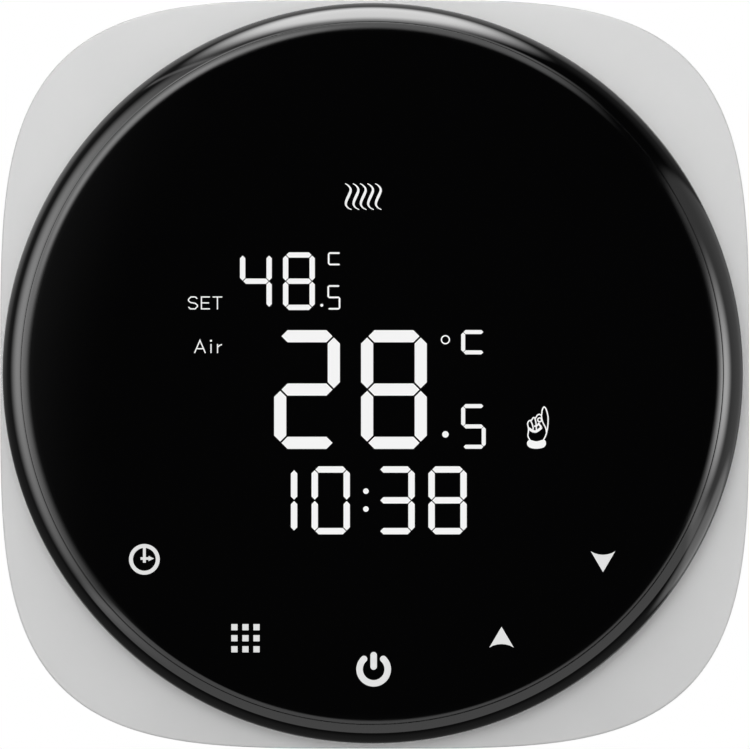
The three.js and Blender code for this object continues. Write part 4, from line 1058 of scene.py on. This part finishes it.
def world_light():
    """White to the eye, soft white on matt surfaces, and a painted studio in gloss."""
    world = bpy.data.worlds.new("studio")
    bpy.context.scene.world = world
    world.use_nodes = True
    nodes, links = world.node_tree.nodes, world.node_tree.links
    nodes.clear()

    def feed(target, term):
        """Gives an input a number, or links it to another node's output."""
        if isinstance(term, (int, float)):
            target.default_value = term
        else:
            links.new(term, target)

    def maths(operation, *terms):
        node = nodes.new("ShaderNodeMath")
        node.operation = operation
        for target, term in zip(node.inputs, terms):
            feed(target, term)
        return node.outputs[0]

    def mixed(factor, first, second):
        """The first value where the factor is 0, and the second where it is 1."""
        node = nodes.new("ShaderNodeMix")
        node.data_type = "FLOAT"
        for name, term in (("Factor", factor), ("A", first), ("B", second)):
            feed(node.inputs[name], term)
        return node.outputs["Result"]

    def step(value, start, end):
        """0 before start, 1 after end, and smooth between them."""
        node = nodes.new("ShaderNodeMapRange")
        node.interpolation_type = "SMOOTHSTEP"
        node.inputs["From Min"].default_value = start
        node.inputs["From Max"].default_value = end
        links.new(value, node.inputs["Value"])
        return node.outputs["Result"]

    def panel_light(centre, half, soft, lean, is_round, level):
        """One panel's light at the direction looked in."""
        turn = maths("SUBTRACT", clock, centre[0])
        if lean:
            turn = maths("SUBTRACT", turn, maths("MULTIPLY", away, lean / 90))
        turn = maths("WRAP", turn, 180.0, -180.0)
        across = maths("ABSOLUTE", maths("DIVIDE", turn, half[0]))
        along = maths("ABSOLUTE", maths("DIVIDE", maths("SUBTRACT", away, centre[1]), half[1]))
        if is_round:
            squares = maths("ADD", maths("MULTIPLY", across, across), maths("MULTIPLY", along, along))
            dark = step(maths("SQRT", squares), 1 - soft[0], 1 + soft[0])
            return maths("MULTIPLY", maths("SUBTRACT", 1.0, dark), level)
        inside = [
            maths("SUBTRACT", 1.0, step(reach, 1 - edge, 1 + edge))
            for reach, edge in zip((across, along), soft)
        ]
        return maths("MULTIPLY", maths("MULTIPLY", *inside), level)

    direction = nodes.new("ShaderNodeTexCoord").outputs["Generated"]
    parts = nodes.new("ShaderNodeSeparateXYZ")
    links.new(direction, parts.inputs[0])
    x, y, z = parts.outputs
    degrees = math.degrees(1)
    away = maths("MULTIPLY", maths("ARCCOSINE", maths("MULTIPLY", y, -1.0)), degrees)
    clock = maths("MULTIPLY", maths("ARCTAN2", x, z), degrees)

    total = 0.0
    for panel in STUDIO_PANELS:
        total = maths("ADD", total, panel_light(*panel))
    total = maths("ADD", maths("MULTIPLY", total, step(away, *DARK_AHEAD)), BASE_LEVEL)
    for start, end, rise in (AROUND, BEHIND):
        total = maths("ADD", total, maths("MULTIPLY", step(away, start, end), rise))

    soft_light = maths("ADD", DIFFUSE_LEVEL, maths("MULTIPLY", z, DIFFUSE_SLOPE_Z))
    ahead = maths("POWER", maths("ABSOLUTE", y), DIFFUSE_FALL)
    soft_light = maths("ADD", soft_light, maths("MULTIPLY", ahead, DIFFUSE_AHEAD))

    rays = nodes.new("ShaderNodeLightPath").outputs
    level = mixed(rays["Is Glossy Ray"], soft_light, total)
    level = mixed(rays["Is Camera Ray"], level, 1.0)
    background = nodes.new("ShaderNodeBackground")
    background.inputs["Color"].default_value = (1.0, 1.0, 1.0, 1.0)
    links.new(level, background.inputs["Strength"])
    output = nodes.new("ShaderNodeOutputWorld")
    links.new(background.outputs[0], output.inputs["Surface"])


def make_camera():
    """A long lens that looks straight ahead, shifted so that the plate fills the frame."""
    data = bpy.data.cameras.new("camera")
    data.sensor_width = CAMERA_SENSOR_MM
    data.lens = data.sensor_width * CAMERA_DISTANCE_MM / FRAME_WIDTH_MM
    right, up = CAMERA_OFFSET_MM
    data.shift_x = (FRAME_CENTRE_MM[0] - right) / FRAME_WIDTH_MM
    data.shift_y = (FRAME_CENTRE_MM[1] - up) / FRAME_WIDTH_MM
    camera = bpy.data.objects.new("camera", data)
    bpy.context.scene.collection.objects.link(camera)
    front = box_mm("trim_plate")[0].y
    camera.location = Vector((right, front - CAMERA_DISTANCE_MM, up)) * MM
    camera.rotation_euler = (math.pi / 2, 0.0, 0.0)
    bpy.context.scene.camera = camera


def make_floor():
    """A plain pale disc well under the thermostat, left out of its reflections."""
    bm = bmesh.new()
    outline = disc(0, 0, FLOOR_RADIUS, 96)
    heights = (FLOOR_HEIGHT - FLOOR_THICKNESS, FLOOR_HEIGHT)
    loft(bm, [[(x, y, height) for x, y in outline] for height in heights])
    floor = piece_from("floor", bm)
    look = Look("pale_floor", (0.82, 0.82, 0.82), 0.7)
    look.vary_color(3, (0.79, 0.79, 0.79))
    floor.data.materials.append(look.material)
    floor.visible_glossy = False


def make_flag():
    """A black card out of the picture: the plate grows a little darker towards it."""
    bm = bmesh.new()
    across, deep = [size / 2 for size in FLAG_SIZE]
    x, y, z = FLAG_PLACE
    brick(bm, (x - across, y - deep, z - FLAG_THICKNESS), (x + across, y + deep, z))
    flag = piece_from("flag", bm)
    flag.data.materials.append(Look("black_card", (0.01, 0.01, 0.01), 0.9).material)
    flag.visible_camera = False
    flag.visible_glossy = False


def make_lights():
    """Two soft boxes: one straight ahead for the plate, one behind for the back."""
    for name, place, size, energy in SOFT_BOXES:
        data = bpy.data.lights.new(name, "AREA")
        data.size = size
        data.energy = energy
        lamp = bpy.data.objects.new(name, data)
        bpy.context.scene.collection.objects.link(lamp)
        lamp.location = place
        lamp.rotation_euler = Vector(place).to_track_quat("Z", "Y").to_euler()
        lamp.visible_camera = False
        lamp.visible_glossy = False


# ------------------------------------------------------------------ everything


def dress_cad_nodes():
    """The inner pieces keep their CAD shape and take their finish."""
    slots = {part["node"]: part["material_slot"] for part in frame["record"]["subparts"]}
    for node, piece in frame["nodes"].items():
        piece.data.materials.clear()
        piece.data.materials.append(MATERIALS[slots[node]][0])
        smooth(piece)


dress_cad_nodes()
make_cover_glass()
make_bezel()
make_trim()
make_soft_edged_parts()
make_screws()
make_room_temperature()
make_set_temperature()
make_clock_figures()
make_labels()
make_heating_symbol()
make_hand_symbol()
make_key_icons()
world_light()
make_camera()
make_floor()
make_flag()
make_lights()
bpy.context.scene.view_settings.view_transform = "Standard"
